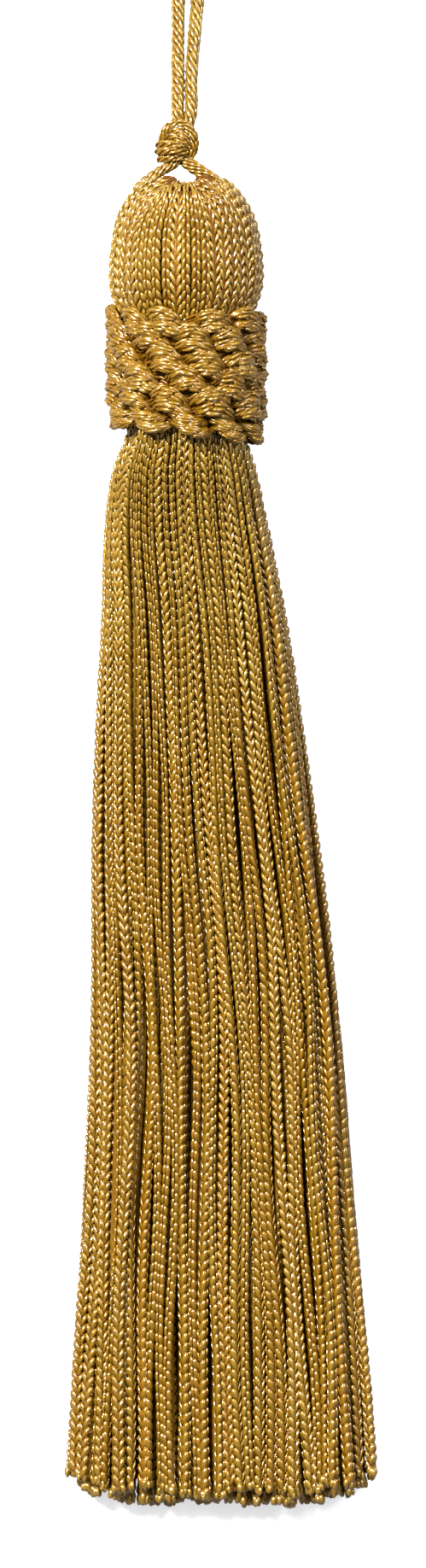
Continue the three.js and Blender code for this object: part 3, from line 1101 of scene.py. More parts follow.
@dataclass(frozen=True)
class Skirt:
    """The hanging strands: two layers around the skirt, and a row inside that is knitted near the hem."""

    form: SkirtForm = SkirtForm()
    stitch: Chainette = Chainette()
    ring_names: tuple[str, str] = ("skirt_outer", "skirt_inner")
    ring_counts: tuple[int, int] = (60, 40)
    ring_facing: tuple[float, float] = (2.06, 1.25)
    ring_pieces: tuple[int, int] = (4, 2)
    # Seeds of the strands: the second layer and the row inside each start a step further on
    key_step: int = 100
    # How much of the cores goes without painted shade
    core_unshaded: float = 0.55
    core_sides: int = 5
    inner_shown: float = 0.35
    # Painted shade on the layer beneath
    inner_painted_shade: float = 0.08
    inner_knit: float = 16.0 * MM
    inner_grown: float = 0.25 * MM
    under: float = -0.6
    under_facing: float = 0.9
    row_count: int = 20
    row_width_share: float = 0.78
    row_half_width: float = 0.45 * MM
    row_knit: float = 14.0 * MM
    layer_pitch: float = 1.0 * MM
    half_height: float = 0.44 * MM
    least_half_width: float = 0.2 * MM
    crowding: float = 0.06 * MM
    hidden_root: float = 2.0 * MM
    station_step: float = 2.0 * MM
    wander_share: float = 0.5
    wander_drop: float = 60.0 * MM
    # Strands at the sides of the skirt lean less, by this power of their distance from the middle
    calm_power: int = 8
    sway: float = 0.38 * MM
    # Waves of a strand in a metre, at least and on top of that
    waves: tuple[float, float] = (11.0, 12.0)
    recess: float = 0.30 * MM
    # Some strands at the front stray across their neighbours
    stray_share: float = 0.18
    stray_lean: float = 13.0
    stray_rise: float = 0.75 * MM
    stray_front: float = 0.21
    end_scatter: float = 1.5 * MM
    end_gap: float = 0.2 * MM
    front_rise: float = 0.7 * MM
    front_facing: float = 0.5
    warm_share: float = 0.12
    warm_tint: float = 0.62
    plain_tint: float = 0.34
    tint_spread: float = 0.28
    # Painted light at the roots, where the skirt slopes away from the lamps, and the drop over which it
    # fades
    root_painted_light: float = 0.36
    painted_light_drop: float = 50.0 * MM
    roll_spread: float = 0.55
    twist_spread: float = 14.0
    staggers: tuple[float, float] = (0.1, 0.5)
    most_skew: float = 0.5
    first_spread: float = 0.3
    bare_end: float = 0.3
    tuft_fibres: int = 12
    tuft_spread: float = 0.5
    tuft_fan: float = 0.14
    tuft_stray: float = 0.4
    tuft_depth: float = 0.6 * MM
    tuft_size: tuple[float, float, float] = (0.31 * MM, 0.60 * MM, 0.28 * MM)
    tuft_scale: tuple[float, float] = (0.8, 1.2)
    # Painted light on the cut ends, which face away from the lamps: a lighter tint, and painted shade
    # below zero
    tuft_painted_light_tint: float = 0.5
    tuft_painted_light: float = -0.1
    seed: int = 11

    def strand_tint(self, key: float) -> float:
        """Tint of a strand, most of them plain and a few warmer.

        Args:
            key: Seed of the strand.

        Returns:
            The tint.
        """
        share = float(trait(key, Trait.SKIRT_TINT))
        if share > 1.0 - self.warm_share:
            return self.warm_tint
        return self.plain_tint + self.tint_spread * share

    def wander(self, ring: int, drops: Array) -> tuple[Array, Array, Array]:
        """How the strands of one layer leave their even places on the way down.

        Args:
            ring: 0 for the outer layer, 1 for the one beneath it.
            drops: Drops below the root.

        Returns:
            For each strand and drop, the lean in places, the sway in metres and the depth in metres.
        """
        count = self.ring_counts[ring]
        index = np.arange(count)
        key = index + ring * self.key_step
        grown = np.clip(drops / self.wander_drop, 0.0, 1.0)
        x, _ = self.form.outline(self.form.sections(drops)[-1], 0.0)
        edge = np.interp((index + ring / 2.0) / count, np.linspace(0.0, 1.0, len(x)), x)
        aside = np.abs(2.0 * (edge - x.min()) / (x.max() - x.min()) - 1.0)
        calm = 1.0 - np.clip(aside, 0.0, 1.0) ** self.calm_power
        front = np.abs(index / count - 0.5) < self.stray_front
        stray = (trait(key, Trait.SKIRT_STRAY) < self.stray_share) & front & (ring == 0)
        # The other strands close up where a stray one has left its place.
        closed = (np.cumsum(~stray) - 1.0) * count / np.sum(~stray)
        closing = np.where(stray, 0.0, closed - index)[:, None] * grown
        calm = np.where(stray, self.stray_lean, 1.0) * calm
        lean = ((trait(key, Trait.SKIRT_LEAN) - 0.5) * calm)[:, None] * self.wander_share * grown + closing
        rate = self.waves[0] + self.waves[1] * trait(key, Trait.SKIRT_WAVES)[:, None]
        waves = drops * rate + trait(key, Trait.SKIRT_PHASE)[:, None]
        recess = self.recess * trait(key, Trait.SKIRT_DEPTH)
        deep = np.where(stray, -self.stray_rise, recess)[:, None] * grown
        return lean, self.sway * grown * np.sin(TURN * waves), deep

    def ring(self, ring: int) -> list[StrandPath]:
        """Paths of the strands of one layer around the skirt.

        Args:
            ring: 0 for the outer layer, 1 for the one beneath it.

        Returns:
            One path for each strand.
        """
        form = self.form
        count = self.ring_counts[ring]
        longest = form.root_y - form.hem_y + self.end_scatter
        drops = np.arange(-self.hidden_root, longest + self.station_step, self.station_step)
        inset = self.half_height + self.stitch.leg_height + ring * self.layer_pitch
        index = np.arange(count)
        lean, sway, deep = self.wander(ring, drops)
        centre = np.empty((count, len(drops), 3))
        outward = np.empty((count, len(drops), 3))
        spacing = np.empty(len(drops))
        for station, (drop, section) in enumerate(zip(drops, form.sections(drops))):
            x, z = form.outline(section, inset)
            run = run_along(np.column_stack([x, z]))
            spacing[station] = run[-1] / count
            share = (index + ring / 2.0 + lean[:, station]) / count + sway[:, station] / run[-1]
            at = share % 1.0 * run[-1]
            ahead = np.stack([np.gradient(x, run), np.gradient(z, run)])
            dx, dz = (np.interp(at, run, way) for way in ahead)
            out = unit(np.stack([dz, np.zeros(count), -dx], axis=-1))
            y = np.full(count, form.root_y - drop)
            place = np.stack([np.interp(at, run, x), y, np.interp(at, run, z)], axis=-1)
            centre[:, station] = place - out * deep[:, station][:, None]
            outward[:, station] = out
        reach = np.minimum(self.stitch.full_reach, spacing / 2.0 + self.crowding)
        half_width = np.maximum(reach - self.stitch.leg_height, self.least_half_width)
        paths = []
        for i in index:
            facing = self.ring_facing[ring] if outward[i, -1, 2] > self.under else self.under_facing
            key = i + ring * self.key_step
            paths.append(self.cut(centre[i], outward[i], half_width, key, drops, facing))
        return paths

    def cut(
        self, centre: Array, outward: Array, half_width: Array, key: float, drops: Array, facing: float
    ) -> StrandPath:
        """Cut one strand to its length at the hem.

        Args:
            centre: The strand's line down to its longest.
            outward: Its outward side.
            half_width: Half of its width along the way.
            key: Seed of its own unevenness.
            drops: Drop of each point below the root.
            facing: How far round from its outward side it shows stitches.

        Returns:
            The path of the cut strand.
        """
        form = self.form
        outer = key < self.key_step
        left, right = form.sections(drops[-1:])[0, :2]
        aside = (centre[-1, 0] - (left + right) / 2.0) / ((right - left) / 2.0)
        rise = form.corner_rise * min(1.0, abs(aside)) ** form.corner_power
        rise += (float(trait(key, Trait.SKIRT_LENGTH)) - 0.5) * self.end_scatter
        if outward[-1, 2] > self.front_facing and outer:
            rise += self.front_rise
        end = form.root_y - form.hem_y - rise
        inside = drops < end - self.end_gap
        share = np.interp(end, drops, np.arange(len(drops)))
        low = int(share)
        last = centre[low] + (centre[low + 1] - centre[low]) * (share - low)
        reached = np.append(drops[inside], end)
        phase = (key * GOLDEN + self.first_spread * float(trait(key, Trait.SKIRT_FIRST))) % 1.0
        return StrandPath(
            centre=np.vstack([centre[inside], last]),
            outward=np.vstack([outward[inside], outward[low]]),
            half_width=np.append(half_width[inside], half_width[low]),
            half_height=np.full(len(reached), self.half_height),
            tint=self.strand_tint(key),
            roll=quarter_turn(trait(key, Trait.SKIRT_ROLL), self.roll_spread),
            twist=(float(trait(key, Trait.SKIRT_TWIST)) - 0.5) * self.twist_spread,
            stagger=self.staggers[int(trait(key, Trait.SKIRT_STAGGER) > 0.5)],
            skew=self.most_skew * float(trait(key, Trait.SKEW)),
            first=phase * self.stitch.pitch,
            last=self.bare_end * self.stitch.pitch,
            facing=facing,
            deep=0.0 if outer else self.inner_painted_shade,
            painted_light=self.root_painted_light * (1.0 - eased(reached / self.painted_light_drop)),
        )

    def inside_row(self) -> list[StrandPath]:
        """Paths of the flat row of strands in the middle of the skirt.

        Returns:
            One path for each strand, with stitches near the hem alone.
        """
        form = self.form
        longest = form.root_y - form.hem_y + self.end_scatter
        drops = np.arange(0.0, longest + self.station_step, self.station_step)
        sections = form.sections(drops)
        half = (sections[:, 1] - sections[:, 0]) / 2.0 * self.row_width_share
        middle = (sections[:, 0] + sections[:, 1]) / 2.0
        height = (sections[:, 2] + sections[:, 3]) / 2.0
        up = np.tile([0.0, 0.0, 1.0], (len(drops), 1))
        width = np.full(len(drops), self.row_half_width)
        paths = []
        for index in range(self.row_count):
            across = (index + 0.5) / self.row_count * 2.0 - 1.0
            centre = np.column_stack([middle + across * half, form.root_y - drops, height])
            key = index + len(self.ring_counts) * self.key_step
            path = self.cut(centre, up, width, key, drops, math.pi)
            path.first = run_along(path.centre)[-1] - self.row_knit
            paths.append(path)
        return paths

    def frayed(self, path: StrandPath, random: np.random.Generator) -> Stitches:
        """A soft tuft of short fibres at the cut end of a strand.

        Args:
            path: The cut strand.
            random: Source of the fibres' directions.

        Returns:
            The fibres, as stitch legs.
        """
        count = self.tuft_fibres
        up, side = path.side()
        down, across, out = -up[-1], side[-1], path.outward[-1]
        a, b = random.normal(0.0, self.tuft_spread, (2, count, 1))
        fan = across * (a + random.normal(0.0, self.tuft_stray, (count, 1)))
        fan = fan + out * (b + random.normal(0.0, self.tuft_stray, (count, 1)))
        way = unit(down + self.tuft_fan * fan)
        place = path.centre[-1] + across * a * path.half_width[-1] + out * b * path.half_height[-1]
        place = place + down * random.uniform(-self.tuft_depth, 0.0, (count, 1))
        size = np.tile(self.tuft_size, (count, 1)) * random.uniform(*self.tuft_scale, (count, 1))
        facing = unit(out + random.normal(0.0, self.tuft_stray, (count, 3)))
        # Painted light: the cut ends are lighter than their strands
        tint = np.full(count, path.tint * self.tuft_painted_light_tint)
        return Stitches(place, way, facing, size, tint, np.full(count, self.tuft_painted_light))

    def build(self, shop: Workshop) -> list[bpy.types.Object]:
        """Knit the skirt.

        Args:
            shop: Shared trees and finishes.

        Returns:
            Its pieces.
        """
        node = Node.HEAD_AND_SKIRT
        random = np.random.default_rng(self.seed)
        pieces = []
        cores = Yarns()
        outer, inner = self.ring(0), self.ring(1)
        row = self.inside_row()
        for path in outer:
            self.stitch.core(path, cores, self.core_unshaded)
        for path in inner + row:
            self.stitch.core(path, cores, self.core_unshaded, self.inner_grown)
        for path in inner:
            if path.outward[-1, 2] < self.inner_shown:
                path.first += run_along(path.centre)[-1] - self.inner_knit
        for ring, paths, leg in ((0, outer, shop.leg), (1, inner, shop.plain_leg)):
            for number, group in enumerate(np.array_split(np.arange(len(paths)), self.ring_pieces[ring])):
                stitches = [self.stitch.knit(paths[i], random) for i in group]
                pieces.append(shop.knitted(stitches, f"{self.ring_names[ring]}_{number + 1}", leg, node))
        stitches = [self.stitch.knit(path, random) for path in row]
        pieces.append(shop.knitted(stitches, "skirt_middle", shop.leg, node))
        pieces.append(shop.spun(cores, "skirt_cores", self.core_sides, node))
        tufts = [self.frayed(path, random) for path in outer + inner + row]
        pieces.append(shop.knitted(tufts, "skirt_cut_ends", shop.stroke, node))
        return pieces


@dataclass(frozen=True)
class Head:
    """The round fold of the hank: strands run from the dimple in the crown down into the collar."""

    stitch: Chainette = Chainette(
        pitch=1.18 * MM, leg_length=0.92 * MM, leg_width=0.29 * MM, leg_height=0.22 * MM, lean=0.30,
        tip_rise=0.10,
    )
    crown_y: float = 74.4 * MM
    strands: int = 46
    half_height: float = 0.36 * MM
    height_share: float = 1.6
    least_radius: float = 0.2 * MM
    least_half_width: float = 0.1 * MM
    crowding: float = 0.16 * MM
    nod: float = math.radians(19.0)
    nod_drop: float = 10.0 * MM
    notch: float = 2.4 * MM
    notch_radius: float = 8.0 * MM
    notch_power: int = 8
    core_grown: float = 0.04 * MM
    # The cores are painted in full shade, as the shade between the strands
    core_unshaded: float = -0.1
    core_sides: int = 6
    jitter: float = 0.1
    merge_radius: float = 3.4 * MM
    knit_from: float = 1.7 * MM
    bare_back: float = 4.2 * MM
    knit_until: float = 18.5 * MM
    # The first points of a strand rise from the dimple to the crown.
    rising: int = 3
    # Legs are shorter near the dimple: this share at its middle, but never under the least one
    short_leg: float = 0.4
    least_leg: float = 0.5
    full_leg_radius: float = 9.0 * MM
    palest: float = 0.02
    tint_spread: float = 0.40
    roll_spread: float = 0.25
    twist_spread: float = 14.0
    most_skew: float = 0.5
    first_spread: float = 0.3
    facing: float = 1.9
    filling_from: float = 3.6 * MM
    filling_inset: float = 1.5 * MM
    filling_tint: float = 0.5
    # The filling is painted almost in full shade
    filling_unshaded: float = 0.1
    station_step: float = 0.8 * MM
    seed: int = 23
    # Columns: radius and drop below the crown, in mm
    profile: tuple[tuple[float, float], ...] = (
        (0.5, 1.9), (0.9, 0.9), (1.8, -0.2), (3.6, 0.05), (5.8, 1.15), (7.1, 2.8), (8.25, 5.2),
        (8.85, 8.4), (9.1, 11.5), (8.8, 14.0), (8.2, 15.5), (7.2, 17.2), (6.9, 20.0), (6.8, 30.8),
    )

    def outer_line(self) -> Array:
        """The radius and the drop of the head's outer line, at an even step."""
        return smooth_route(np.array(self.profile) * MM, self.station_step)

    def hinge(self) -> Array:
        """The point inside the head that its crown nods around."""
        return np.array([AXIS_X, self.crown_y - self.nod_drop, AXIS_Z])

    def nodded(self, points: Array, where: Array) -> Array:
        """Turn points around the hinge, so that the crown nods towards the viewer.

        Args:
            points: The points.
            where: Where each lies along the head, which sets how far it turns.

        Returns:
            The turned points, as seen from the hinge.
        """
        share = (self.crown_y - where[:, 1]) / self.nod_drop
        angle = self.nod * (1.0 - eased(share))
        x, y, z = (points - self.hinge()).T
        c, s = np.cos(angle), np.sin(angle)
        return np.column_stack([x, y * c - z * s, z * c + y * s])

    def path(self, index: int, line: Array) -> StrandPath:
        """Path of one strand; every second one starts a little way out from the dimple.

        Args:
            index: The strand's number around the head.
            line: Radius and drop of the head's outer line.

        Returns:
            The path.
        """
        ahead = unit(np.gradient(line, axis=0))
        outside = np.column_stack([ahead[:, 1], -ahead[:, 0]])
        inner = line - outside * (self.half_height + self.stitch.leg_height)
        radius, y = np.maximum(inner[:, 0], self.least_radius), self.crown_y - inner[:, 1]
        start = 0 if index % 2 == 0 else np.argmax(line[:, 0] > self.merge_radius)
        uneven = (trait(index, Trait.HEAD_ANGLE) - 0.5) * self.jitter
        angle = (index + uneven) * TURN / self.strands
        behind = max(0.0, -math.cos(angle))
        dent = self.notch * behind ** self.notch_power * (1.0 - eased(radius / self.notch_radius))
        centre = around_axis(angle, radius, y - dent)[start:]
        sideways = np.array([math.cos(angle), 0.0, -FLATTEN * math.sin(angle)])
        up = unit(-np.gradient(centre, axis=0))
        outward = unit(np.cross(np.broadcast_to(unit(sideways), up.shape), up))
        form = line[start:, 0]
        sharing = np.where(form > self.merge_radius, self.strands, self.strands / 2)
        reach = np.minimum(self.stitch.full_reach, math.pi * form / sharing + self.crowding)
        width = np.maximum(reach - self.stitch.leg_height, self.least_half_width)
        run = run_along(centre)
        drop = self.crown_y - centre[:, 1]
        bare = float(run[np.argmax(form > self.knit_from + self.bare_back * behind)])
        end = np.interp(self.knit_until, drop[self.rising:], run[self.rising:])
        phase = (index * GOLDEN + self.first_spread * float(trait(index, Trait.HEAD_FIRST))) % 1.0
        return StrandPath(
            centre=self.nodded(centre, centre) + self.hinge(),
            outward=self.nodded(outward + self.hinge(), centre),
            half_width=width,
            half_height=np.minimum(self.half_height, width * self.height_share),
            tint=self.palest + self.tint_spread * float(trait(index, Trait.HEAD_TINT)),
            roll=quarter_turn(trait(index, Trait.HEAD_ROLL), self.roll_spread),
            twist=(float(trait(index, Trait.HEAD_TWIST)) - 0.5) * self.twist_spread,
            skew=self.most_skew * float(trait(index, Trait.SKEW)),
            length_share=np.clip(self.short_leg + form / self.full_leg_radius, self.least_leg, 1.0),
            first=bare + phase * self.stitch.pitch,
            last=float(run[-1] - end),
            facing=self.facing,
        )

    def build(self, shop: Workshop) -> list[bpy.types.Object]:
        """Knit the head.

        Args:
            shop: Shared trees and finishes.

        Returns:
            Its pieces.
        """
        random = np.random.default_rng(self.seed)
        line = self.outer_line()
        paths = [self.path(index, line) for index in range(self.strands)]
        cores = Yarns()
        for path in paths:
            self.stitch.core(path, cores, self.core_unshaded, self.core_grown)
        # A filling inside the head, painted dark as the shade behind the strands
        inside = line[line[:, 1] > self.filling_from]
        middle = around_axis(np.zeros(len(inside)), 0.0, self.crown_y - inside[:, 1])
        middle = self.nodded(middle, middle) + self.hinge()
        thick = FLATTEN * (inside[:, 0] - self.filling_inset)
        cores.add(middle, thick, self.filling_tint, self.filling_unshaded)
        stitches = [self.stitch.knit(path, random) for path in paths]
        return [
            shop.knitted(stitches, "head_stitches", shop.leg, Node.HEAD_AND_SKIRT),
            shop.spun(cores, "head_cores", self.core_sides, Node.HEAD_AND_SKIRT),
        ]


@dataclass(frozen=True)
class Collar:
    """The woven band around the neck: six rows of slanted lobes, each a pair of cords of fine yarns."""

    stitch: Chainette = Chainette(
        pitch=1.25 * MM, legs=8, lean=0.20, lean_spread=0.36, one_way=True, leg_length=1.02 * MM,
        leg_width=0.26 * MM, leg_height=0.24 * MM, full_reach=0.9 * MM, tip_rise=0.05, size_spread=0.4,
    )
    lean: float = 0.02
    row_lean: float = 0.02
    bumps: int = 10
    length: float = 6.0 * MM
    radius: float = 8.65 * MM
    scatter_angle: float = math.radians(9.0)
    slant_spread: float = math.radians(16.0)
    size_spread: float = 0.24
    row_spread: float = 0.6
    row_seed: int = 20
    # Seeds of a lobe's slant, thickness and height
    lobe_seeds: tuple[float, ...] = (0.15, 0.35, 0.55)
    dip: float = 2.1 * MM
    fullest: float = 0.80
    fullness: float = 0.62
    # Share of a lobe's length at either end that doesn't thin out further
    blunt: float = 0.015
    # Weights of the bow along a lobe, which leave its mean height as it is
    bow_weights: tuple[float, float] = (1.0 / 3.0, 4.0)
    strands: int = 5
    facing: float = 2.0
    pair_apart: float = 0.40
    pair_share: float = 0.66
    pair_shift: float = 0.9 * MM
    # How close the pair comes at its ends
    pair_end: float = 0.35
    core_share: float = 0.6
    yarn: float = 0.34 * MM
    yarn_end: float = 0.4
    yarn_spread: float = 0.2
    yarn_tint: float = 0.45
    yarn_tint_spread: float = 0.34
    # Painted shade of the lobe yarns, which grows towards the lobe's ends
    yarn_unshaded: float = 0.6
    unshaded_gain: float = 1.2
    # Seeds of a yarn's angle, thickness, reach and tint, and the steps from cord to cord and yarn to yarn
    yarn_seeds: tuple[float, ...] = (0.1, 0.3, 0.5, 0.7)
    yarn_seed_steps: tuple[float, float] = (7.0, 1.3)
    reach_spread: float = 0.2
    angle_spread: float = 0.5
    twist: float = 1.4
    twist_back: float = 0.2
    strokes_above: float = 0.10 * MM
    stroke_tint: float = 0.3
    stroke_tint_spread: float = 0.3
    stroke_skew: float = 0.3
    least_half: float = 0.1 * MM
    bare_ends: float = 0.75 * MM
    # Painted shade at the lobe's ends, in the creases between lobes
    end_painted_shade: float = 1.6
    points: int = 15
    sides: int = 4
    seed: int = 37
    plain_tint: float = 0.5
    wrap_radius: float = 7.5 * MM
    wrap_yarn: float = 0.22 * MM
    wrap_pitch: float = 1.7
    wrap_points: int = 40
    wrap_wave: float = 0.5 * MM
    wrap_ripple: float = 2.6
    # The wrap yarn is painted almost in full shade
    wrap_unshaded: float = 0.2
    wrap_top: float = 57.3 * MM
    wrap_bottom: float = 45.4 * MM
    # Columns: y of the row in mm, turn of its first lobe and tilt of its lobes in degrees, and their
    # bow and half thickness in mm
    rows: tuple[tuple[float, float, float, float, float], ...] = (
        (56.6, -10.0, 22.0, 1.3, 1.4),
        (54.5, 8.0, 20.0, 1.6, 1.6),
        (52.0, -13.0, 22.0, 1.6, 1.6),
        (49.7, 2.0, 20.0, 1.6, 1.6),
        (47.4, -12.0, 22.0, 1.5, 1.55),
        (45.3, 5.0, 8.0, -1.0, 1.2),
    )

    def bump(self, row: int, index: int, yarns: Yarns) -> list[StrandPath]:
        """Lay the yarns of one lobe, which is a pair of cords.

        Args:
            row: The row, from the top.
            index: The lobe in its row.
            yarns: Where the yarns go.

        Returns:
            The paths of the short strokes over the yarns, one for each cord.
        """
        y, turn, tilt, bow, thick = self.rows[row]
        seed = index + row * self.row_seed
        shift = (float(scatter(seed)) - 0.5) * self.scatter_angle
        angle = math.radians(turn) + shift + index * TURN / self.bumps
        uneven = scatter(seed + np.array(self.lobe_seeds)) - 0.5
        slant = math.radians(tilt) + self.slant_spread * uneven[0]
        thick = thick * (1.0 + self.size_spread * uneven[1])
        y = y + self.row_spread * uneven[2]
        lean = self.lean + row * self.row_lean
        middle = y * MM - lean * self.radius * math.sin(angle)
        share = np.linspace(-0.5, 0.5, self.points)
        swell = np.clip(share + 0.5, self.blunt, 1.0 - self.blunt) ** self.fullest
        scale = np.sin(math.pi * swell) ** self.fullness
        bowed = bow * MM * (self.bow_weights[0] - self.bow_weights[1] * share * share)
        near = self.pair_end + (1.0 - self.pair_end) * scale
        paths = []
        for cord in (0.5, -0.5):
            run = share * self.length - cord * self.pair_shift
            aside = cord * self.pair_apart * 2.0 * thick * MM * near
            around = angle + (run * math.cos(slant) + aside * math.sin(slant)) / self.radius
            height = middle - run * math.sin(slant) + aside * math.cos(slant) + bowed
            line = around_axis(around, self.radius - self.dip * (1.0 - scale), height)
            paths.append(self.cord(line, around, thick * self.pair_share * MM, scale, seed + cord, yarns))
        return paths

    def cord(
        self, line: Array, around: Array, thick: float, scale: Array, seed: float, yarns: Yarns
    ) -> StrandPath:
        """Lay the yarns of one cord of a lobe.

        Args:
            line: The cord's middle line.
            around: Where its points lie around the neck.
            thick: Half of its thickness.
            scale: Its thickness along the way, as a share.
            seed: Seed of its own unevenness.
            yarns: Where the yarns go.

        Returns:
            The path of the short strokes over the yarns.
        """
        share = np.linspace(-0.5, 0.5, self.points)
        ahead = unit(np.gradient(line, axis=0))
        out = around_axis(around, 1.0, 0.0) - around_axis(around, 0.0, 0.0)
        across = unit(np.cross(ahead, out))
        out = np.cross(across, ahead)
        # Painted shade grows towards the lobe's ends
        lift = self.yarn_unshaded * eased(self.unshaded_gain * scale)
        # The cord's core is painted in full shade
        yarns.add(line, thick * self.core_share * scale, self.plain_tint, 0.0)
        twist = self.twist * (float(trait(seed, Trait.CORD_TWIST)) - self.twist_back)
        thin = self.yarn_end + (1.0 - self.yarn_end) * scale
        cord_step, yarn_step = self.yarn_seed_steps
        for strand in range(self.strands):
            keys = scatter(seed * cord_step + strand * yarn_step + np.array(self.yarn_seeds)) - 0.5
            turned = (strand + 0.5 + self.angle_spread * keys[0]) * 2.0 * self.facing / self.strands
            theta = (turned - self.facing + twist * share)[:, None]
            yarn = self.yarn * thin * (1.0 + self.yarn_spread * keys[1])
            reach = thick * scale * (1.0 + self.reach_spread * keys[2] * scale) - self.yarn * scale
            reach = (reach - self.strokes_above)[:, None]
            place = line + across * reach * np.sin(theta) + out * reach * np.cos(theta)
            yarns.add(place, yarn, self.yarn_tint + self.yarn_tint_spread * keys[3], lift)
        half = np.maximum(thick - self.stitch.leg_height, self.least_half) * scale
        return StrandPath(
            centre=line,
            outward=out,
            half_width=half,
            half_height=half,
            tint=self.stroke_tint + self.stroke_tint_spread * float(trait(seed, Trait.CORD_TINT)),
            roll=TURN * float(trait(seed, Trait.CORD_ROLL)),
            skew=self.stroke_skew,
            # Painted shade towards the lobe's ends
            deep=self.end_painted_shade * (1.0 - scale),
            facing=self.facing,
            first=self.bare_ends,
            last=self.bare_ends,
        )

    def wrap(self) -> Yarns:
        """Wind the plain yarn between the lobes, painted dark as the shade in the creases there.

        Returns:
            The yarn.
        """
        turns = round((self.wrap_top - self.wrap_bottom) / (self.wrap_pitch * self.wrap_yarn))
        angle = np.linspace(0.0, TURN * turns, turns * self.wrap_points)
        y = np.linspace(self.wrap_top, self.wrap_bottom, len(angle))
        wave = self.wrap_wave * np.sin(self.bumps * angle)
        radius = self.wrap_radius + self.wrap_yarn * np.sin(self.wrap_ripple * angle)
        yarns = Yarns()
        yarns.add(around_axis(angle, radius, y + wave), self.wrap_yarn, self.plain_tint, self.wrap_unshaded)
        return yarns

    def build(self, shop: Workshop) -> list[bpy.types.Object]:
        """Weave the collar.

        Args:
            shop: Shared trees and finishes.

        Returns:
            Its pieces.
        """
        random = np.random.default_rng(self.seed)
        lobes = Yarns()
        strokes = []
        for row in range(len(self.rows)):
            for index in range(self.bumps):
                strokes += [self.stitch.knit(path, random) for path in self.bump(row, index, lobes)]
        return [
            shop.knitted(strokes, "collar_strokes", shop.stroke, Node.COLLAR),
            shop.spun(lobes, "collar_weave", self.sides, Node.COLLAR),
            shop.spun(self.wrap(), "collar_cores", self.sides, Node.COLLAR),
        ]


@dataclass(frozen=True)
class KnotTurn:
    """One turn of the knotted cord: its radius and its route from the knot's middle, in mm."""

    radius: float
    route: tuple[Point, ...]


@dataclass(frozen=True)
class Knot:
    """The overhand knot in the doubled cord, with the two short legs that go into the crown."""

    middle: Point = (-5.45, 78.4, 7.4)
    step: float = 0.35 * MM
    sides: int = 6
    stitch: Chainette = Chainette(
        pitch=1.0 * MM, lean=0.36, lean_spread=0.3, one_way=True, leg_length=0.85 * MM,
        leg_width=0.22 * MM, leg_height=0.21 * MM, full_reach=0.5 * MM, tip_rise=0.0, size_spread=0.3,
    )
    apart: float = 0.44 * MM
    least_legs: int = 4
    tint: float = 0.5
    # The cores are painted in full shade
    core_unshaded: float = 0.0
    seed: int = 67
    # In order: the band on the right, the upper and the lower wrap, three fat turns from the top down,
    # the hidden middle, and the left and the right leg
    turns: tuple[KnotTurn, ...] = (
        KnotTurn(0.66, (
            (-1.6, -0.3, 0.1), (-1.5, 0.6, 0.7), (-0.9, 1.6, 0.9), (0.3, 2.05, 1.0),
            (1.4, 1.5, 1.0), (1.95, 0.3, 1.0), (1.95, -0.9, 0.8), (1.3, -2.0, 0.3),
        )),
        KnotTurn(0.5, (
            (-1.2, 1.0, -0.3), (-0.6, 1.15, 0.7), (0.3, 1.0, 1.4),
            (1.05, 0.3, 1.6), (1.35, -0.7, 1.1), (1.3, -1.4, 0.2),
        )),
        KnotTurn(0.46, (
            (-1.5, 0.2, 0.0), (-1.0, 0.45, 1.0), (-0.1, 0.4, 1.6),
            (0.7, -0.2, 1.7), (1.1, -1.0, 1.1), (1.1, -1.5, 0.2),
        )),
        KnotTurn(0.5, (
            (-1.7, -0.4, -0.8), (-2.1, -0.4, 0.2), (-1.3, -0.35, 1.3),
            (0.0, -0.5, 1.75), (0.9, -0.8, 1.2), (1.2, -0.9, 0.2),
        )),
        KnotTurn(0.52, (
            (-1.6, -1.2, -0.8), (-2.15, -1.2, 0.2), (-1.3, -1.2, 1.45),
            (0.0, -1.2, 1.75), (0.9, -1.35, 1.1), (1.2, -1.5, 0.1),
        )),
        KnotTurn(0.48, (
            (-1.4, -2.0, -0.8), (-1.95, -2.05, 0.1), (-1.2, -2.05, 1.1),
            (0.0, -1.95, 1.3), (0.8, -1.85, 0.7), (1.0, -1.8, -0.1),
        )),
        KnotTurn(1.3, ((-0.5, -1.4, 0.0), (0.1, 0.0, 0.1), (0.4, 1.2, 0.0))),
        KnotTurn(0.68, (
            (0.3, -1.9, 0.3), (-0.5, -2.7, 0.6), (-1.9, -3.5, 0.9), (-3.2, -4.4, 1.0), (-4.4, -5.5, 1.0),
        )),
        KnotTurn(0.84, (
            (0.5, -1.8, 0.3), (1.7, -2.8, 0.6), (3.2, -3.8, 1.0), (4.5, -4.8, 1.4), (5.6, -5.9, 1.6),
        )),
    )

    def build(self, shop: Workshop) -> list[bpy.types.Object]:
        """Tie the knot.

        Args:
            shop: Shared trees and finishes.

        Returns:
            Its pieces.
        """
        random = np.random.default_rng(self.seed)
        yarns = Yarns()
        groups = []
        for turn in self.turns:
            route = smooth_route((np.array(turn.route) + self.middle) * MM, self.step)
            reach = turn.radius * MM - self.stitch.leg_height
            path = rope(route, reach, self.tint, turn.radius)
            legs = max(self.least_legs, round(TURN * reach / self.apart))
            groups.append(replace(self.stitch, legs=legs).knit(path, random))
            self.stitch.core(path, yarns, self.core_unshaded)
        return [
            shop.knitted(groups, "knot_turns", shop.stroke, Node.KNOT),
            shop.spun(yarns, "knot_cores", self.sides, Node.KNOT),
        ]


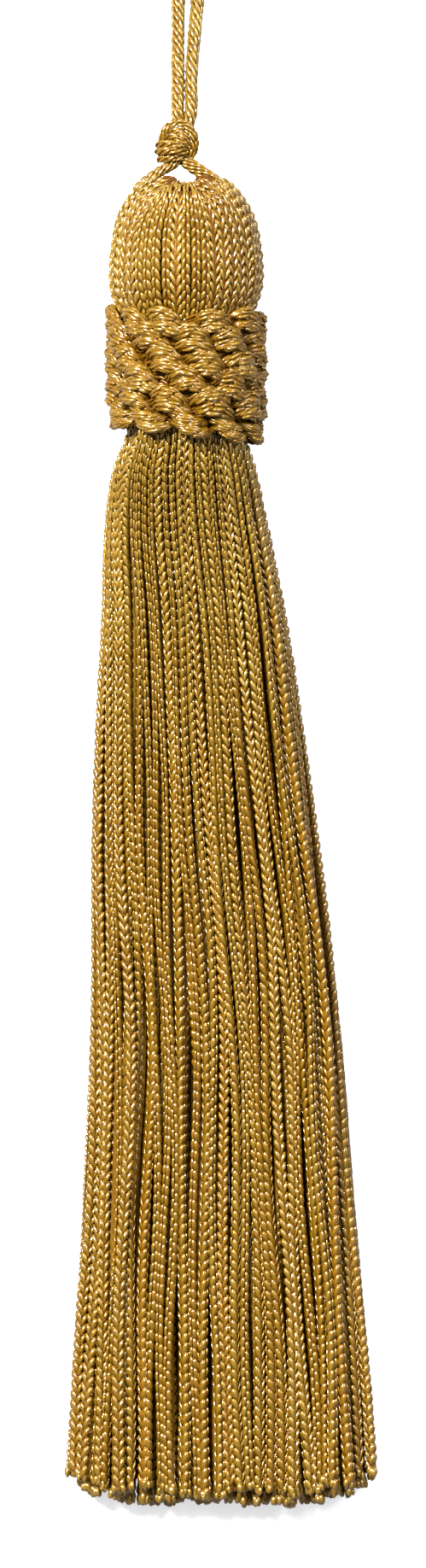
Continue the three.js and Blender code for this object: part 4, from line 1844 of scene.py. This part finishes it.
@dataclass(frozen=True)
class Lamp:
    """A square lamp: its name, its place, the length of its side, and its power in watts."""

    name: str
    place: Point
    size: float
    power: float

    def hang(self, target: Vector) -> None:
        """Hang the lamp so that it shines on a point.

        Args:
            target: The point.
        """
        data = bpy.data.lights.new(self.name, "AREA")
        data.shape = "SQUARE"
        data.size = self.size
        data.energy = self.power
        lamp = new_object(self.name, data)
        lamp.location = self.place
        lamp.rotation_euler = (target - lamp.location).to_track_quat("-Z", "Y").to_euler()


@dataclass(frozen=True)
class Studio:
    """The camera straight above the tassel, the white table and the soft light."""

    # Length that a pixel of the photograph shows, and the photograph's size in pixels
    scale: float = 0.1 * MM
    image: tuple[int, int] = (499, 1836)
    middle: Point = (-1.2 * MM, 3.35 * MM, 5.0 * MM)
    distance: float = 1.2
    nearest: float = 0.01
    sensor: float = 36.0
    table_half: float = 2.0
    key: Lamp = Lamp("key", (-0.50, 0.55, 0.80), 0.32, 43.0)
    side: Lamp = Lamp("side", (0.65, 0.45, 0.75), 0.5, 9.5)
    sky: Colour = (0.95, 0.97, 1.0, 1.0)
    sky_strength: float = 0.30

    def camera(self) -> None:
        """Set the camera at the photograph's angle and framing."""
        data = bpy.data.cameras.new("camera")
        data.sensor_fit = "VERTICAL"
        data.sensor_height = self.sensor
        data.lens = self.sensor * self.distance / (self.image[1] * self.scale)
        data.clip_start = self.nearest
        camera = new_object("camera", data)
        camera.location = Vector(self.middle) + Vector((0.0, 0.0, self.distance))
        bpy.context.scene.camera = camera

    def table(self) -> None:
        """Lay the white table."""
        half = self.table_half
        corners = [(-half, -half, 0.0), (half, -half, 0.0), (half, half, 0.0), (-half, half, 0.0)]
        mesh = bpy.data.meshes.new("table")
        mesh.from_pydata(corners, [], [(0, 1, 2, 3)])
        mesh.materials.append(TableTop().material())
        table = new_object("table", mesh)

    def build(self) -> None:
        """Set up the camera, table, lamps and sky."""
        self.camera()
        self.table()
        for lamp in (self.key, self.side):
            lamp.hang(Vector(self.middle))
        world = bpy.data.worlds.new("studio")
        world.use_nodes = True
        graph = Graph(world.node_tree)
        sky = graph.node("ShaderNodeBackground", {"Color": self.sky, "Strength": self.sky_strength})
        graph.node("ShaderNodeOutputWorld", {"Surface": sky.outputs[0]})
        bpy.context.scene.world = world
        bpy.context.scene.view_settings.view_transform = "Standard"


def main() -> None:
    """Build the tassel, part by part."""
    logging.basicConfig(level=logging.INFO, format="%(message)s")
    Studio().build()
    shop = Workshop(
        yarn_tree=YarnTree(),
        stitch_tree=StitchTree(),
        leg=StitchLeg().model(),
        plain_leg=PLAIN_LEG.model(),
        stroke=BLUNT_STROKE.model(),
        finishes={
            Slot.CHAINETTE: SatinYarn("chainette_satin").material(),
            Slot.COLLAR_CORD: COLLAR_SATIN.material(),
            Slot.LOOP_CORD: LOOP_SATIN.material(),
        },
    )
    for part in (HangingCord(), Skirt(), Head(), Collar(), Knot()):
        part.build(shop)


if __name__ == "__main__":
    main()
